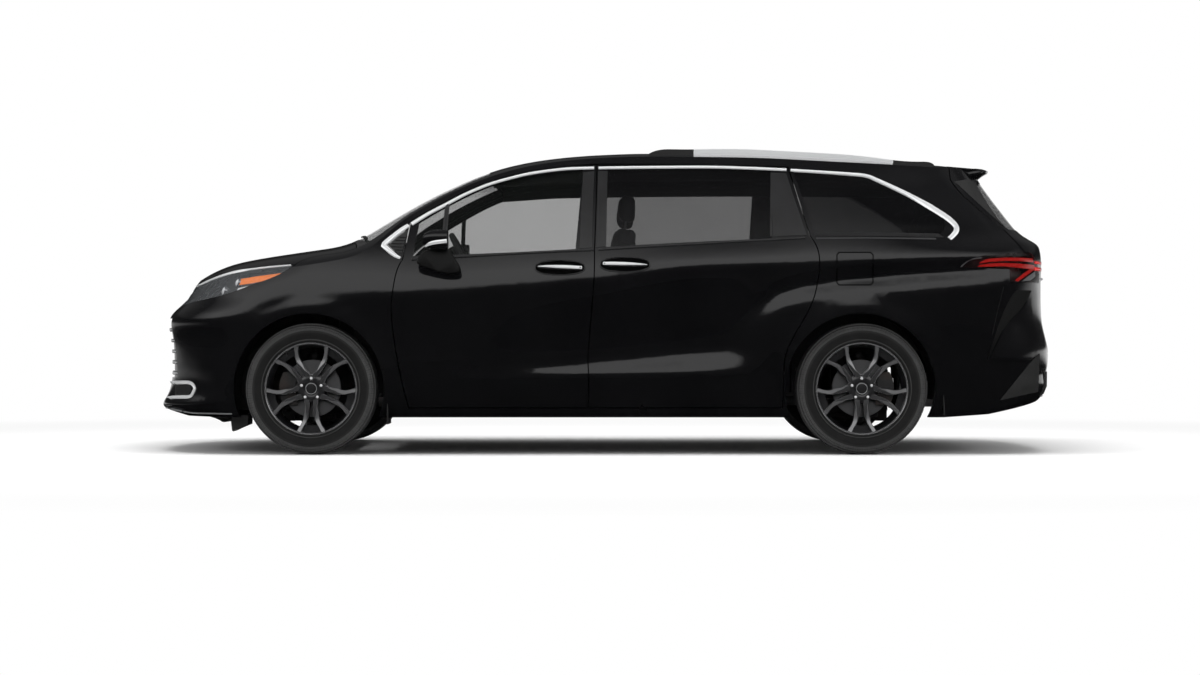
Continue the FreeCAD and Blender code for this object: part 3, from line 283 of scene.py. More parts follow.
def diamondMesh():
    s = Shade("meshBlack")
    x, y, z = s.axis("X"), s.axis("Y"), s.axis("Z")

    def crossed(along):
        return s.maths("SINE", (along + z) * 520.0) * s.maths("SINE", (along - z) * 520.0)
    height = s.maths("MAXIMUM", crossed(y), crossed(x))
    # raised diamonds are painted lighter and the hollows darker: painted light and shade on the mesh
    colour = s.mix(s.clamp(height * 2.0), (0.003, 0.003, 0.003), (0.03, 0.03, 0.031))
    return s.finish(Base_Color=colour, Roughness=0.4 + s.noise(40.0) * 0.1, Normal=s.bump(height, 0.9, 0.003))


def headlining():
    s = Shade("headliner")
    weave = s.noise(900.0, 2.0)
    tone = s.mix(s.noise(4.0, 4.0), (0.012, 0.012, 0.012), (0.020, 0.020, 0.020))
    return s.finish(Base_Color=tone, Roughness=0.95, Normal=s.bump(weave, 0.4, 0.0008))


paint = blackPaint()
gloss = glossTrim()
plastic = grainedPlastic("grainedPlastic", (0.013, 0.013, 0.013), (0.022, 0.022, 0.022))
cabinPlastic = grainedPlastic("cabinPlastic", (0.020, 0.020, 0.021), (0.032, 0.032, 0.034), 700.0, 0.6)
undercoat = grainedPlastic("undercoat", (0.012, 0.012, 0.012), (0.028, 0.027, 0.026), 260.0, 0.75, 0.5)
clearGlass = tintedGlass("frontGlass", (0.006, 0.007, 0.0065), 0.25)
fixedGlass = screenAndQuarter()
darkGlass = tintedGlass("privacyGlass", (0.004, 0.004, 0.0045), 0.42)
lens = tintedGlass("lampLens", (0.20, 0.21, 0.22), 0.13)
smokedLens = tintedGlass("smokedLens", (0.010, 0.006, 0.006), 0.30)
# chrome trim glows at strength 0.16: painted glow that stands for its bright reflections
chrome = brightMetal("chromeTrim", (0.90, 0.91, 0.92), 0.05, metallic=0.55, lift=0.16)
satin = brightMetal("satinMetal", (0.50, 0.51, 0.52), 0.28, (0.06, 1, 1), metallic=0.7)
steel = castMetal("forgedSteel", (0.30, 0.30, 0.31), 0.5)
iron = castMetal("castIron", (0.085, 0.085, 0.085), 0.25, 0.55)
discSteel = brightMetal("discSteel", (0.36, 0.36, 0.37), 0.3, (1, 1, 1), 0.05)
tyreRubber = rubber("tyreRubber", (0.008, 0.008, 0.008), (0.014, 0.014, 0.0135))
# the tread rubber is a lighter copy of the tyre rubber: painted light on the tread and shoulders, which face up to
# the light
treadRubber = rubber("treadRubber", (0.048, 0.048, 0.048), (0.074, 0.073, 0.072))
wheelFinish = wheelPaint()
seatLeather = leather("seatLeather", (0.018, 0.018, 0.019), (0.034, 0.033, 0.034))
dashLeather = leather("dashLeather", (0.014, 0.014, 0.015), (0.026, 0.026, 0.027))
floorCarpet = carpet()
amber = lampShine("amberReflector", (0.85, 0.19, 0.012), 0.35, 0.14, 0.6)
redGlow = lampShine("redReflector", (0.72, 0.022, 0.018), 0.45, 0.14, 0.5)
whiteGlow = lampShine("clearReflector", (0.75, 0.76, 0.78), 0.15, 0.1, 0.5)
rails = railMetalPaintedGlow()
rubberTrim = grainedPlastic("rubberTrim", (0.004, 0.004, 0.004), (0.008, 0.008, 0.008), 300.0, 0.7, 0.2)
# near black: the mirror's black base, and painted shadow of the mirror on the door
footBlackAndPaintedShadow = grainedPlastic("mirrorFootBlack", (0.002, 0.002, 0.002), (0.004, 0.004, 0.004), 420.0, 0.55, 0.15)
bowlShine = grainedPlastic("lampBowl", (0.010, 0.010, 0.011), (0.022, 0.022, 0.023), 260.0, 0.22, 0.06)
mirrorBowl = brightMetal("lampReflector", (0.62, 0.63, 0.65), 0.12)
# near-black matte: dark panel joints, and painted shade for the recess under the tail lamp
deepBlack = grainedPlastic("deepBlack", (0.0012, 0.0012, 0.0012), (0.003, 0.003, 0.003), 500.0, 0.6, 0.2)
meshBlack = diamondMesh()
headCloth = headlining()
print("finishes made")

# the slot each finish stands for, where it isn't black plastic
slotOf = {"blackPaint": "paint", "chromeTrim": "chrome", "lampReflector": "chrome", "satinMetal": "satin_metal",
          "wheelPaint": "wheel_alloy", "discSteel": "steel", "forgedSteel": "steel", "tyreRubber": "tyre",
          "treadRubber": "tyre", "lampLens": "lamp_lens", "clearReflector": "lamp_lens",
          "amberReflector": "lamp_lens", "smokedLens": "red_lens", "redReflector": "red_lens",
          "seatLeather": "seat_leather"}

# The outer skin, which carries the trim
skinNames = ["front_door_left", "sliding_door_left", "fender_left", "body_side_left", "front_door_glass_left",
             "sliding_door_glass_left", "fuel_flap", "front_door_right", "sliding_door_right", "fender_right",
             "body_side_right", "front_door_glass_right", "sliding_door_glass_right", "front_bumper",
             "rear_bumper", "hood", "roof", "cowl", "tailgate", "tailgate_glass", "fixed_glass", "headlamps",
             "tail_lamps"]


def nodeMesh(names):
    points, faces = [], []
    for name in names:
        start = len(points)
        mesh = nodes[name].data
        points += [v.co.copy() for v in mesh.vertices]
        faces += [[start + i for i in p.vertices] for p in mesh.polygons]
    return points, faces


skin = BVHTree.FromPolygons(*nodeMesh(skinNames))


def touch(origin, direction, spread=0.012, tree=None):
    # a point and normal on the skin, from a flat piece fitted to rays around this one, so that a gap doesn't matter
    tree = tree or skin
    direction = Vector(direction).normalized()
    side = direction.cross(Vector((0, 0, 1)) if abs(direction.z) < 0.9 else Vector((1, 0, 0))).normalized()
    up = side.cross(direction)
    rows = []
    for ring, count in ((0, 1), (0.5, 6), (1.0, 10)):
        for k in range(count):
            u, v = spread * ring * math.cos(6.2832 * k / count), spread * ring * math.sin(6.2832 * k / count)
            depth = tree.ray_cast(Vector(origin) + side * u + up * v, direction)[3]
            if depth is not None:
                rows.append((u, v, depth))
    if len(rows) < 5:
        return None
    rows = numpy.array(rows)
    rows = rows[rows[:, 2] < rows[:, 2].min() + spread * 1.3]
    for slack in (0.008, 0.004, 0.003):
        shape = numpy.linalg.lstsq(numpy.c_[numpy.ones(len(rows)), rows[:, :2]], rows[:, 2], rcond=None)[0]
        error = rows[:, 2] - shape[0] - rows[:, :2] @ shape[1:]
        kept = rows[error < error.min() + slack]
        if len(kept) < 5:
            break
        rows = kept
    a, b, c = shape
    normal = (side + direction * b).cross(up + direction * c).normalized()
    if normal.dot(direction) > 0:
        normal = -normal
    return Vector(origin) + direction * a, normal


def seen(px, py, spread=0.012):
    return touch(cameraPlace, sightLine(px, py), spread)


def frontSkin(y, z, spread=0.012, tree=None):
    return touch((-3.2, y, z), (1, 0, 0), spread, tree)


def rearSkin(y, z, spread=0.012):
    return touch((3.2, y, z), (-1, 0, 0), spread)


def topSkin(x, y, spread=0.012):
    return touch((x, y, 2.4), (0, 0, -1), spread)


def smoothLine(points, count):
    # evenly spaced points on a smooth line through points of any number of values
    rows = numpy.array(points, float)
    fine = []
    for i in range(len(rows) - 1):
        p0, p1, p2, p3 = rows[max(i - 1, 0)], rows[i], rows[i + 1], rows[min(i + 2, len(rows) - 1)]
        for t in numpy.linspace(0, 1, 24, endpoint=False):
            fine.append(0.5 * (2 * p1 + (p2 - p0) * t + (2 * p0 - 5 * p1 + 4 * p2 - p3) * t ** 2
                               + (3 * p1 - p0 - 3 * p2 + p3) * t ** 3))
    fine = numpy.array(fine + [rows[-1]])
    return spaced(fine, count)


def spaced(points, count):
    rows = numpy.array(points, float)
    steps = numpy.linalg.norm(numpy.diff(rows, axis=0), axis=1)
    along = numpy.r_[0, numpy.cumsum(steps)]
    wanted = numpy.linspace(0, along[-1], count)
    return numpy.array([numpy.interp(wanted, along, rows[:, k]) for k in range(rows.shape[1])]).T


def skinLine(points, step=3.0, spread=0.012):
    length = sum(math.dist(points[i], points[i + 1]) for i in range(len(points) - 1))
    return [seen(px, py, spread) for px, py in smoothLine(points, max(4, int(length / step)))]


def shifted(points, distance):
    # a picture line moved sideways, up or to the left
    rows = smoothLine(points, 40)
    steps = numpy.gradient(rows, axis=0)
    sides = numpy.c_[steps[:, 1], -steps[:, 0]] / numpy.linalg.norm(steps, axis=1)[:, None]
    return rows + sides * distance


def seenLine(points, count, spread):
    return [seen(px, py, spread) for px, py in smoothLine(points, count)]


def sunk(places, depth):
    return [(s[0] - s[1] * depth, s[1]) for s in places if s]


def raised(rise, spread=0.006):
    # a way to find skin points that stand off by a distance, or by one that changes over the picture
    def find(px, py):
        spot = seen(px, py, spread)
        return spot and (spot[0] + spot[1] * (rise(px, py) if callable(rise) else rise), spot[1])
    return find


def softSquare(count, flat, upright, close=0):
    # points round a square of half size 1 whose corners are softened by two powers
    angles = [2 * math.pi * k / count for k in range(count + close)]
    return [(math.copysign(abs(math.cos(a)) ** flat, math.cos(a)),
             math.copysign(abs(math.sin(a)) ** upright, math.sin(a))) for a in angles]


def makeMesh(name, points, faces, smooth=True):
    mesh = bpy.data.meshes.new(name)
    mesh.from_pydata([tuple(p) for p in points], [], faces)
    work = bmesh.new()
    work.from_mesh(mesh)
    bmesh.ops.remove_doubles(work, verts=work.verts, dist=1e-5)
    bmesh.ops.dissolve_degenerate(work, edges=work.edges, dist=1e-6)
    bmesh.ops.recalc_face_normals(work, faces=work.faces)
    work.to_mesh(mesh)
    work.free()
    for polygon in mesh.polygons:
        polygon.use_smooth = smooth
    return mesh


def piece(name, mesh, material, body="vehicle", slot=None, sharp=35):
    made = bpy.data.objects.new(name, mesh)
    bpy.context.scene.collection.objects.link(made)
    if not mesh.materials:
        mesh.materials.append(material)
    if sharp:
        mesh.set_sharp_from_angle(angle=math.radians(sharp))
    slot = slot or slotOf.get(material.name, "black_plastic")
    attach(made, body)
    return made


def single(name, shape, material, body="vehicle", slot=None, sharp=35):
    return piece(name, makeMesh(name, *shape), material, body, slot, sharp)


def flip(points):
    return [Vector((p[0], -p[1], p[2])) for p in points]


def otherSide(name):
    return name.replace("_left", "_right")


def pair(name, points, faces, material, body="vehicle", slot=None, sharp=35):
    # a piece on the left and its mirror image on the right
    left = single(name + "_left", (points, faces), material, body, slot, sharp)
    right = single(name + "_right", (flip(points), faces), material, otherSide(body), slot, sharp)
    return left, right


def joined(parts):
    points, faces = [], []
    for some, loops in parts:
        start = len(points)
        points += list(some)
        faces += [[start + i for i in loop] for loop in loops]
    return points, faces


def wrapped(rows, ring):
    # the faces of a closed form through rows of as many points each
    faces = []
    for i in range(rows - 1):
        for k in range(ring):
            a, b = i * ring + k, i * ring + (k + 1) % ring
            faces.append([a, b, b + ring, a + ring])
    return faces + [list(range(ring)), [(rows - 1) * ring + k for k in range(ring)][::-1]]


def stretched(sections):
    return [Vector(p) for row in sections for p in row], wrapped(len(sections), len(sections[0]))


def ribbon(places, width, height, sink=0.003, crown=7):
    # a crowned strip along (point, normal) places; width may change along it
    places = [p for p in places if p]
    count = len(places)
    spots = [spot for spot, normal in places]
    widths = width if isinstance(width, (list, tuple)) else [width, width]
    points = []
    for i, (spot, normal) in enumerate(places):
        along = (spots[min(i + 1, count - 1)] - spots[max(i - 1, 0)]).normalized()
        across = normal.cross(along).normalized()
        half = numpy.interp(i / max(count - 1, 1), numpy.linspace(0, 1, len(widths)), widths) / 2
        points.append(spot - across * half - normal * sink)
        for k in range(crown):
            u = -1 + 2 * k / (crown - 1)
            points.append(spot + across * half * u + normal * height * (0.2 + 0.8 * (1 - u ** 2)))
        points.append(spot + across * half - normal * sink)
    return points, wrapped(count, crown + 2)


def layer(first, second, along, across, lift=0.0015, sink=0.003, find=seen, crown=0.0):
    # a sheet over the skin between two lines, crowned in its middle
    a, b = spaced(first, along), spaced(second, along)
    top, low = [], []
    for i in range(along):
        for j in range(across):
            t = j / (across - 1)
            spot = find(*(a[i] * (1 - t) + b[i] * t))
            if spot is None:
                return [], []
            u, v = 2 * i / (along - 1) - 1, 2 * t - 1
            rise = lift + crown * (1 - u ** 4) * (1 - v ** 2)
            top.append(spot[0] + spot[1] * rise)
            low.append(spot[0] - spot[1] * sink)
    faces = []
    size = along * across
    for i in range(along - 1):
        for j in range(across - 1):
            k = i * across + j
            faces.append([k, k + 1, k + across + 1, k + across])
            faces.append([size + k, size + k + across, size + k + across + 1, size + k + 1])
    rim = list(range(across)) + [i * across + across - 1 for i in range(1, along)]
    rim += [size - 1 - j for j in range(1, across)] + [i * across for i in range(along - 2, 0, -1)]
    for k in range(len(rim)):
        p, q = rim[k], rim[(k + 1) % len(rim)]
        faces.append([p, q, size + q, size + p])
    return top + low, faces


def tube(points, radius, sides=12, closed=False):
    points = [Vector(p) for p in points]
    count = len(points)
    made, faces = [], []
    last = None
    for i, p in enumerate(points):
        ahead = points[(i + 1) % count] if closed else points[min(i + 1, count - 1)]
        behind = points[i - 1] if closed or i else points[0]
        along = (ahead - behind).normalized()
        side = (last - along * last.dot(along)).normalized() if last else along.orthogonal().normalized()
        last = side
        up = along.cross(side)
        size = radius[i] if isinstance(radius, (list, tuple)) else radius
        made += [p + (side * math.cos(6.28319 * k / sides) + up * math.sin(6.28319 * k / sides)) * size
                 for k in range(sides)]
    for i in range(count if closed else count - 1):
        for k in range(sides):
            a, b = i * sides + k, i * sides + (k + 1) % sides
            faces.append([a, b, (b + sides) % (count * sides), (a + sides) % (count * sides)])
    if not closed:
        faces += [list(range(sides))[::-1], [(count - 1) * sides + k for k in range(sides)]]
    return made, faces


def lathe(profile, sides=96, closed=True):
    # (y, radius) points turned about the Y axis
    points, faces = [], []
    ring = len(profile)
    for i in range(sides):
        a = 2 * math.pi * i / sides
        points += [Vector((r * math.cos(a), y, r * math.sin(a))) for y, r in profile]
    for i in range(sides):
        for k in range(ring if closed else ring - 1):
            a, b = i * ring + k, i * ring + (k + 1) % ring
            c, d = ((i + 1) % sides) * ring + (k + 1) % ring, ((i + 1) % sides) * ring + k
            faces.append([a, b, c, d])
    return points, faces


def softBox(low, high, round=0.3, cuts=3):
    # a box with rounded edges; round is a share of its smallest side
    work = bmesh.new()
    bmesh.ops.create_cube(work, size=1.0)
    size = Vector(high) - Vector(low)
    centre = (Vector(high) + Vector(low)) / 2
    for v in work.verts:
        v.co = Vector([v.co[k] * size[k] + centre[k] for k in range(3)])
    bmesh.ops.bevel(work, geom=list(work.edges), offset=min(size) * round, segments=cuts, affect="EDGES",
                    profile=0.5, clamp_overlap=True)
    work.verts.index_update()
    made = [v.co.copy() for v in work.verts], [[v.index for v in f.verts] for f in work.faces]
    work.free()
    return made


def moved(shape, matrix):
    return [matrix @ Vector(p) for p in shape[0]], shape[1]


# Geometry Nodes trees for what repeats

def repeatTree(name, path):
    tree = bpy.data.node_groups.new(name, "GeometryNodeTree")
    face = tree.interface
    face.new_socket("Geometry", in_out="INPUT", socket_type="NodeSocketGeometry")
    face.new_socket("Piece", in_out="INPUT", socket_type="NodeSocketObject")
    face.new_socket("Count", in_out="INPUT", socket_type="NodeSocketInt")
    face.new_socket("Finish", in_out="INPUT", socket_type="NodeSocketMaterial")
    face.new_socket("Geometry", in_out="OUTPUT", socket_type="NodeSocketGeometry")
    put, link = tree.nodes.new, tree.links.new
    start, end = put("NodeGroupInput"), put("NodeGroupOutput")
    source = put("GeometryNodeObjectInfo")
    onPoints = put("GeometryNodeInstanceOnPoints")
    if path:
        toCurve = put("GeometryNodeMeshToCurve")
        spread = put("GeometryNodeResampleCurve")
        tangent = put("GeometryNodeInputTangent")
        align = put("FunctionNodeAlignEulerToVector")
        align.axis = "X"
        link(start.outputs["Geometry"], toCurve.inputs[0])
        link(toCurve.outputs[0], spread.inputs["Curve"])
        link(start.outputs["Count"], spread.inputs["Count"])
        link(spread.outputs[0], onPoints.inputs["Points"])
        link(tangent.outputs[0], align.inputs["Vector"])
        link(align.outputs[0], onPoints.inputs["Rotation"])
    else:
        spots = put("GeometryNodePoints")
        index = put("GeometryNodeInputIndex")
        share = put("ShaderNodeMath")
        share.operation = "DIVIDE"
        turn = put("ShaderNodeMath")
        turn.operation = "MULTIPLY"
        turn.inputs[1].default_value = 2 * math.pi
        angles = put("ShaderNodeCombineXYZ")
        link(start.outputs["Count"], spots.inputs["Count"])
        link(spots.outputs[0], onPoints.inputs["Points"])
        link(index.outputs[0], share.inputs[0])
        link(start.outputs["Count"], share.inputs[1])
        link(share.outputs[0], turn.inputs[0])
        link(turn.outputs[0], angles.inputs["Y"])
        link(angles.outputs[0], onPoints.inputs["Rotation"])
    realise = put("GeometryNodeRealizeInstances")
    paintIt = put("GeometryNodeSetMaterial")
    link(start.outputs["Piece"], source.inputs["Object"])
    link(source.outputs["Geometry"], onPoints.inputs["Instance"])
    link(onPoints.outputs[0], realise.inputs[0])
    link(realise.outputs[0], paintIt.inputs["Geometry"])
    link(start.outputs["Finish"], paintIt.inputs["Material"])
    link(paintIt.outputs[0], end.inputs[0])
    return tree


aroundAxle = repeatTree("aroundAxle", False)
alongPath = repeatTree("alongPath", True)


def repeated(shape, count, material, path=None):
    # copies of a small shape around the Y axis, or along a path, as (points, faces)
    source = bpy.data.objects.new("repeatSource", makeMesh("repeatSource", *shape, smooth=False))
    holderMesh = bpy.data.meshes.new("repeatHolder")
    if path is not None:
        holderMesh.from_pydata([tuple(p) for p in path], [(i, i + 1) for i in range(len(path) - 1)], [])
    holder = bpy.data.objects.new("repeatHolder", holderMesh)
    for o in (source, holder):
        bpy.context.scene.collection.objects.link(o)
    tree = alongPath if path is not None else aroundAxle
    modifier = holder.modifiers.new("repeat", "NODES")
    modifier.node_group = tree
    sockets = {s.name: s.identifier for s in tree.interface.items_tree if s.in_out == "INPUT"}
    modifier[sockets["Piece"]] = source
    modifier[sockets["Count"]] = count
    modifier[sockets["Finish"]] = material
    shown = holder.evaluated_get(bpy.context.evaluated_depsgraph_get())
    mesh = bpy.data.meshes.new_from_object(shown)
    made = [v.co.copy() for v in mesh.vertices], [list(p.vertices) for p in mesh.polygons]
    for o in (source, holder):
        bpy.data.objects.remove(o)
    return made


# Finishes of the nodes that stay
nodeFinish = {"underbody": undercoat, "engine": iron, "front_suspension": iron, "rear_suspension": iron,
              "fuel_tank_and_exhaust": steel, "roof": paint, "cowl": plastic, "hood": paint, "fender_left": paint,
              "fender_right": paint, "body_side_left": paint, "body_side_right": paint, "front_bumper": paint,
              "grille": gloss, "rear_bumper": paint, "tailgate": paint, "front_door_left": paint,
              "front_door_right": paint, "sliding_door_left": paint, "sliding_door_right": paint,
              "fuel_flap": paint, "fixed_glass": fixedGlass, "tailgate_glass": darkGlass,
              "front_door_glass_left": clearGlass, "front_door_glass_right": clearGlass,
              "sliding_door_glass_left": darkGlass, "sliding_door_glass_right": darkGlass, "headlamps": lens,
              "tail_lamps": smokedLens, "roof_rails": rails, "mirror_left": gloss, "mirror_right": gloss,
              "dashboard": dashLeather, "steering_wheel": dashLeather, "seats": seatLeather,
              "knuckle_left": iron, "knuckle_right": iron}
for name, node in nodes.items():
    finish = nodeFinish.get(name) or (tyreRubber if name.startswith("tyre") else wheelFinish)
    if not node.material_slots:
        node.data.materials.append(finish)
    for holder in node.material_slots:
        holder.link = "OBJECT"
        holder.material = finish
print("nodes finished")

# Studio
camera = bpy.data.objects.new("camera", bpy.data.cameras.new("camera"))
bpy.context.scene.collection.objects.link(camera)
camera.location = cameraPlace
camera.rotation_euler = (math.pi / 2, 0, 0)
camera.data.lens = view["lens"]
camera.data.sensor_width = view["sensor"]
camera.data.clip_end = 200
bpy.context.scene.camera = camera
bpy.context.scene.view_settings.view_transform = "Standard"

studio = {"floorRadius": 11.0, "fadeStart": 2.2, "fadeEnd": 5.5, "roomLight": 0.55, "floorInPaint": 0.005,
          "cardLow": 0.20, "cardHigh": 0.80, "cardNear": 1.15, "cardFar": 0.04, "above": 0.10, "farHorizon": 0.8,
          "aheadDim": 0.7, "dark": 0.015}


def studioFloor():
    radius = studio["floorRadius"]
    ring = [(math.cos(2 * math.pi * k / 96) * radius, math.sin(2 * math.pi * k / 96) * radius, -0.0005)
            for k in range(96)]
    mesh = makeMesh("studioFloor", ring, [list(range(96))], False)
    if mesh.polygons[0].normal.z < 0:
        mesh.flip_normals()
    s = Shade("studioFloor")
    x, y = s.axis("X"), s.axis("Y")
    far = s.maths("SQRT", x * x * 0.5 + y * y)
    fade = s.clamp((far - studio["fadeStart"]) / (studio["fadeEnd"] - studio["fadeStart"]))
    path = s.node("ShaderNodeLightPath")
    seenByCamera, mirrored = Wire(s, path.outputs["Is Camera Ray"]), Wire(s, path.outputs["Is Glossy Ray"])
    grain = s.noise(3.0)
    ownTone = s.mix(grain, (0.86, 0.86, 0.86), (0.88, 0.88, 0.88))
    tone = s.mix(mirrored, ownTone, (studio["floorInPaint"],) * 3)
    ground = s.node("ShaderNodeBsdfPrincipled", None, Base_Color=tone, Roughness=0.9, Specular_IOR_Level=0.0)
    white = s.node("ShaderNodeEmission", None, Color=(1.0, 1.0, 1.0), Strength=1.0)
    both = s.node("ShaderNodeMixShader")
    s.feed(both.inputs[0], fade * seenByCamera)
    s.feed(both.inputs[1], ground.outputs[0])
    s.feed(both.inputs[2], white.outputs[0])
    s.node("ShaderNodeOutputMaterial", None, Surface=both.outputs[0])
    mesh.materials.append(s.material)
    made = bpy.data.objects.new("studioFloor", mesh)
    bpy.context.scene.collection.objects.link(made)


def studioSky():
    world = bpy.data.worlds.new("studioSky")
    bpy.context.scene.world = world
    world.use_nodes = True
    s = Shade("studioSky", world.node_tree)
    path = s.node("ShaderNodeLightPath")
    shown = s.clamp(Wire(s, path.outputs["Is Camera Ray"]) + Wire(s, path.outputs["Is Transmission Ray"]))
    glossy = Wire(s, path.outputs["Is Glossy Ray"])
    parts = s.node("ShaderNodeSeparateXYZ", None, Vector=s.node("ShaderNodeTexCoord").outputs["Generated"])
    height = Wire(s, parts.outputs["Z"])
    # a long card stands on the camera's side, the far side is dark down to its horizon
    near = s.clamp(0.5 - Wire(s, parts.outputs["Y"]) * 1.6)
    card = s.clamp((height - studio["cardLow"]) * 14.0) * s.clamp((studio["cardHigh"] - height) * 3.0)
    ahead = s.clamp(Wire(s, parts.outputs["X"]) * -1.6)
    low = s.clamp((0.05 - s.maths("ABSOLUTE", height)) * 30.0) * (1 - near) * (1 - ahead * studio["aheadDim"])
    cardLight = near * (studio["cardNear"] - studio["cardFar"]) + studio["cardFar"]
    mirrored = card * cardLight + low * studio["farHorizon"]
    mirrored = mirrored + s.clamp((height - 0.6) * 3.0) * studio["above"] + studio["dark"]
    strength = shown + (1 - shown) * (glossy * mirrored + (1 - glossy) * studio["roomLight"])
    back = s.node("ShaderNodeBackground", None, Color=(1.0, 1.0, 1.0), Strength=strength)
    s.node("ShaderNodeOutputWorld", None, Surface=back.outputs[0])


def softLamp(name, place, aim, wide, deep, watts, shown=True):
    lamp = bpy.data.lights.new(name, "AREA")
    lamp.shape = "RECTANGLE"
    lamp.size, lamp.size_y, lamp.energy = wide, deep, watts
    made = bpy.data.objects.new(name, lamp)
    made.location = place
    made.rotation_euler = (Vector(aim) - Vector(place)).to_track_quat("-Z", "Y").to_euler()
    made.visible_glossy = shown
    bpy.context.scene.collection.objects.link(made)


studioFloor()
studioSky()
softLamp("overheadBank", (0, -0.6, 5.2), (0, 0, 0), 7.5, 3.2, 420, False)
softLamp("frontBank", (-6.5, -3.5, 3.2), (-1.5, 0, 0.8), 2.5, 1.6, 60, False)
softLamp("rearBank", (6.5, -3.5, 3.2), (1.5, 0, 0.8), 2.5, 1.6, 60, False)
print("studio ready")

# Side trim. Lines are given where the camera sees them, in pixels of a 1200 x 675 picture, and land on the skin.

windowStrip = {
    "height": 0.006, "frontWidth": 0.026, "topWidth": 0.017, "hookWidth": 0.036,
    "tip": [(400.3, 258.0), (396, 256.0), (391, 252.3), (385.4, 247.4), (383.2, 245.2), (385.4, 242.8),
            (392, 237.2), (400, 231), (408.6, 225.3)],
    "front": [(411.6, 224.1), (428, 214), (445, 205), (466, 194), (488.5, 184.6), (510, 178.3), (531.8, 173.3),
              (564, 169.1), (594.2, 168.0)],
    "middle": [(598.6, 168.0), (660, 167.3), (720, 167.3), (786.4, 169.8)],
    "rear": [(790.4, 170.2), (828, 172.6), (858, 174.8), (868, 176.4), (874, 178.8), (903, 192.2), (926, 204.5),
             (944, 215.6), (952, 221.8), (956.2, 226.9), (956.0, 231.5), (952.0, 236.4), (949.4, 238.6)]}


def chromeAroundWindows():
    wide, slim, hook = windowStrip["frontWidth"], windowStrip["topWidth"], windowStrip["hookWidth"]
    hooked = [slim, slim, slim * 1.1, slim * 1.2, slim * 1.4, hook * 0.75, hook, hook, hook * 0.7]
    runs = [("Tip", [wide * 0.6, wide, wide, wide * 1.1, wide, wide, wide * 0.9], "vehicle"),
            ("Front", [wide * 0.85, slim, slim, slim], "front_door_left"),
            ("Middle", slim, "vehicle"), ("Rear", hooked, "vehicle")]
    for name, width, body in runs:
        places = skinLine(windowStrip[name.lower()], 2.2)
        pair("chromeWindow" + name, *ribbon(places, width, windowStrip["height"]), chrome, body)


chromeAroundWindows()

doorSeal = {
    "top": [(411.6, 224.1), (428, 214), (445, 205), (466, 194), (488.5, 184.6), (510, 178.3), (531.8, 173.3),
            (564, 169.1), (594.2, 168.0), (660, 167.3), (720, 167.3), (786.4, 169.8), (806, 171.0)],
    "upright": [(596.4, 172), (595.6, 215), (595.2, 250), (594.0, 330), (590, 404)],
    "above": 3.7, "topDepth": 0.026, "uprightDepth": 0.030}


def doorSeals():
    # rubber behind the gap over each door, and the trim that hides the rail inside
    top = [seen(x, y, 0.010) for x, y in shifted(doorSeal["top"], doorSeal["above"])]
    pair("doorSeal", *ribbon(sunk(top, doorSeal["topDepth"]), 0.034, 0.006), rubberTrim)
    upright = seenLine(doorSeal["upright"], 40, 0.010)
    pair("doorSealUpright", *ribbon(sunk(upright, doorSeal["uprightDepth"]), 0.030, 0.006), rubberTrim)


doorSeals()


# strips along the windows' lower edge
beltLines = {
    "beltSealFront": ([(411.5, 259.6), (450, 257.4), (500, 254.4), (550, 251.8), (594.0, 249.9)], "front_door_left"),
    "beltSealMiddle": ([(598.5, 249.6), (650, 246.4), (700, 243.6), (760, 240.2), (805.0, 237.8)], "vehicle")}
for name, (line, body) in beltLines.items():
    pair(name, *ribbon(skinLine(line, 3.0), 0.016, 0.006), gloss, body)

# first and second edges of each black panel between the windows
coverPanels = {
    "pillarCoverFront": ([(583.2, 172.6), (581.0, 212), (579.6, 248.6)],
                         [(594.3, 171.2), (592.6, 212), (592.0, 247.6)], "front_door_left"),
    "pillarCoverMiddle": ([(598.2, 171.0), (596.6, 212), (596.0, 247.4)],
                          [(607.6, 171.2), (606.6, 212), (605.8, 246.4)], "vehicle"),
    "pillarCoverRear": ([(770.6, 172.6), (770.2, 206), (770.0, 236.6)],
                        [(786.2, 173.4), (796.5, 205), (806.8, 235.0)], "vehicle"),
    "quarterBase": ([(813.0, 233.2), (870, 232.4), (938, 233.6)], [(815.0, 236.2), (870, 236.0), (944, 237.6)],
                    "vehicle"),
}
for name, (first, second, body) in coverPanels.items():
    shape = layer(first, second, 16, 5, 0.0018, 0.003)
    if shape[0]:
        pair(name, *shape, gloss, body)

corner = {
    "upper": [(388.5, 245.3), (395.0, 239.0), (407.8, 229.6)],
    "lower": [(388.5, 245.3), (394.5, 250.5), (401.0, 256.0)],
    "ribHeights": (237.2, 240.4, 243.6, 246.8, 250.0, 253.0), "tip": (389.5, 245.3), "back": (408.2, 228)}


def cornerPanel():
    # the ribbed black panel ahead of the door's window
    shape = layer(corner["upper"], corner["lower"], 14, 6, 0.0015, 0.003)
    if shape[0]:
        pair("cornerPanel", *shape, plastic)
    ribs = []
    for py in corner["ribHeights"]:
        start = corner["tip"][0] + abs(py - corner["tip"][1]) * 1.25
        end = corner["back"][0] - (py - corner["back"][1]) * 0.24
        if end - start > 3:
            ribs.append(ribbon(skinLine([(start, py), (end, py + 0.3)], 3.0), 0.006, 0.0045))
    pair("cornerPanelRibs", *joined(ribs), gloss)


cornerPanel()

glassBar = [(447.6, 204.4), (446.2, 216), (444.6, 236)]
pair("doorGlassBar", *ribbon(skinLine(glassBar, 3.0, 0.006), 0.026, 0.005), gloss, "front_door_left")

slidingTrack = {"upper": [(816, 237.6), (870, 237.2), (936, 238.0)],
                "lower": [(816, 239.0), (870, 238.6), (936, 239.6)]}
shape = layer(slidingTrack["upper"], slidingTrack["lower"], 24, 3, 0.0012, 0.003)
pair("slidingDoorTrack", *shape, cabinPlastic)

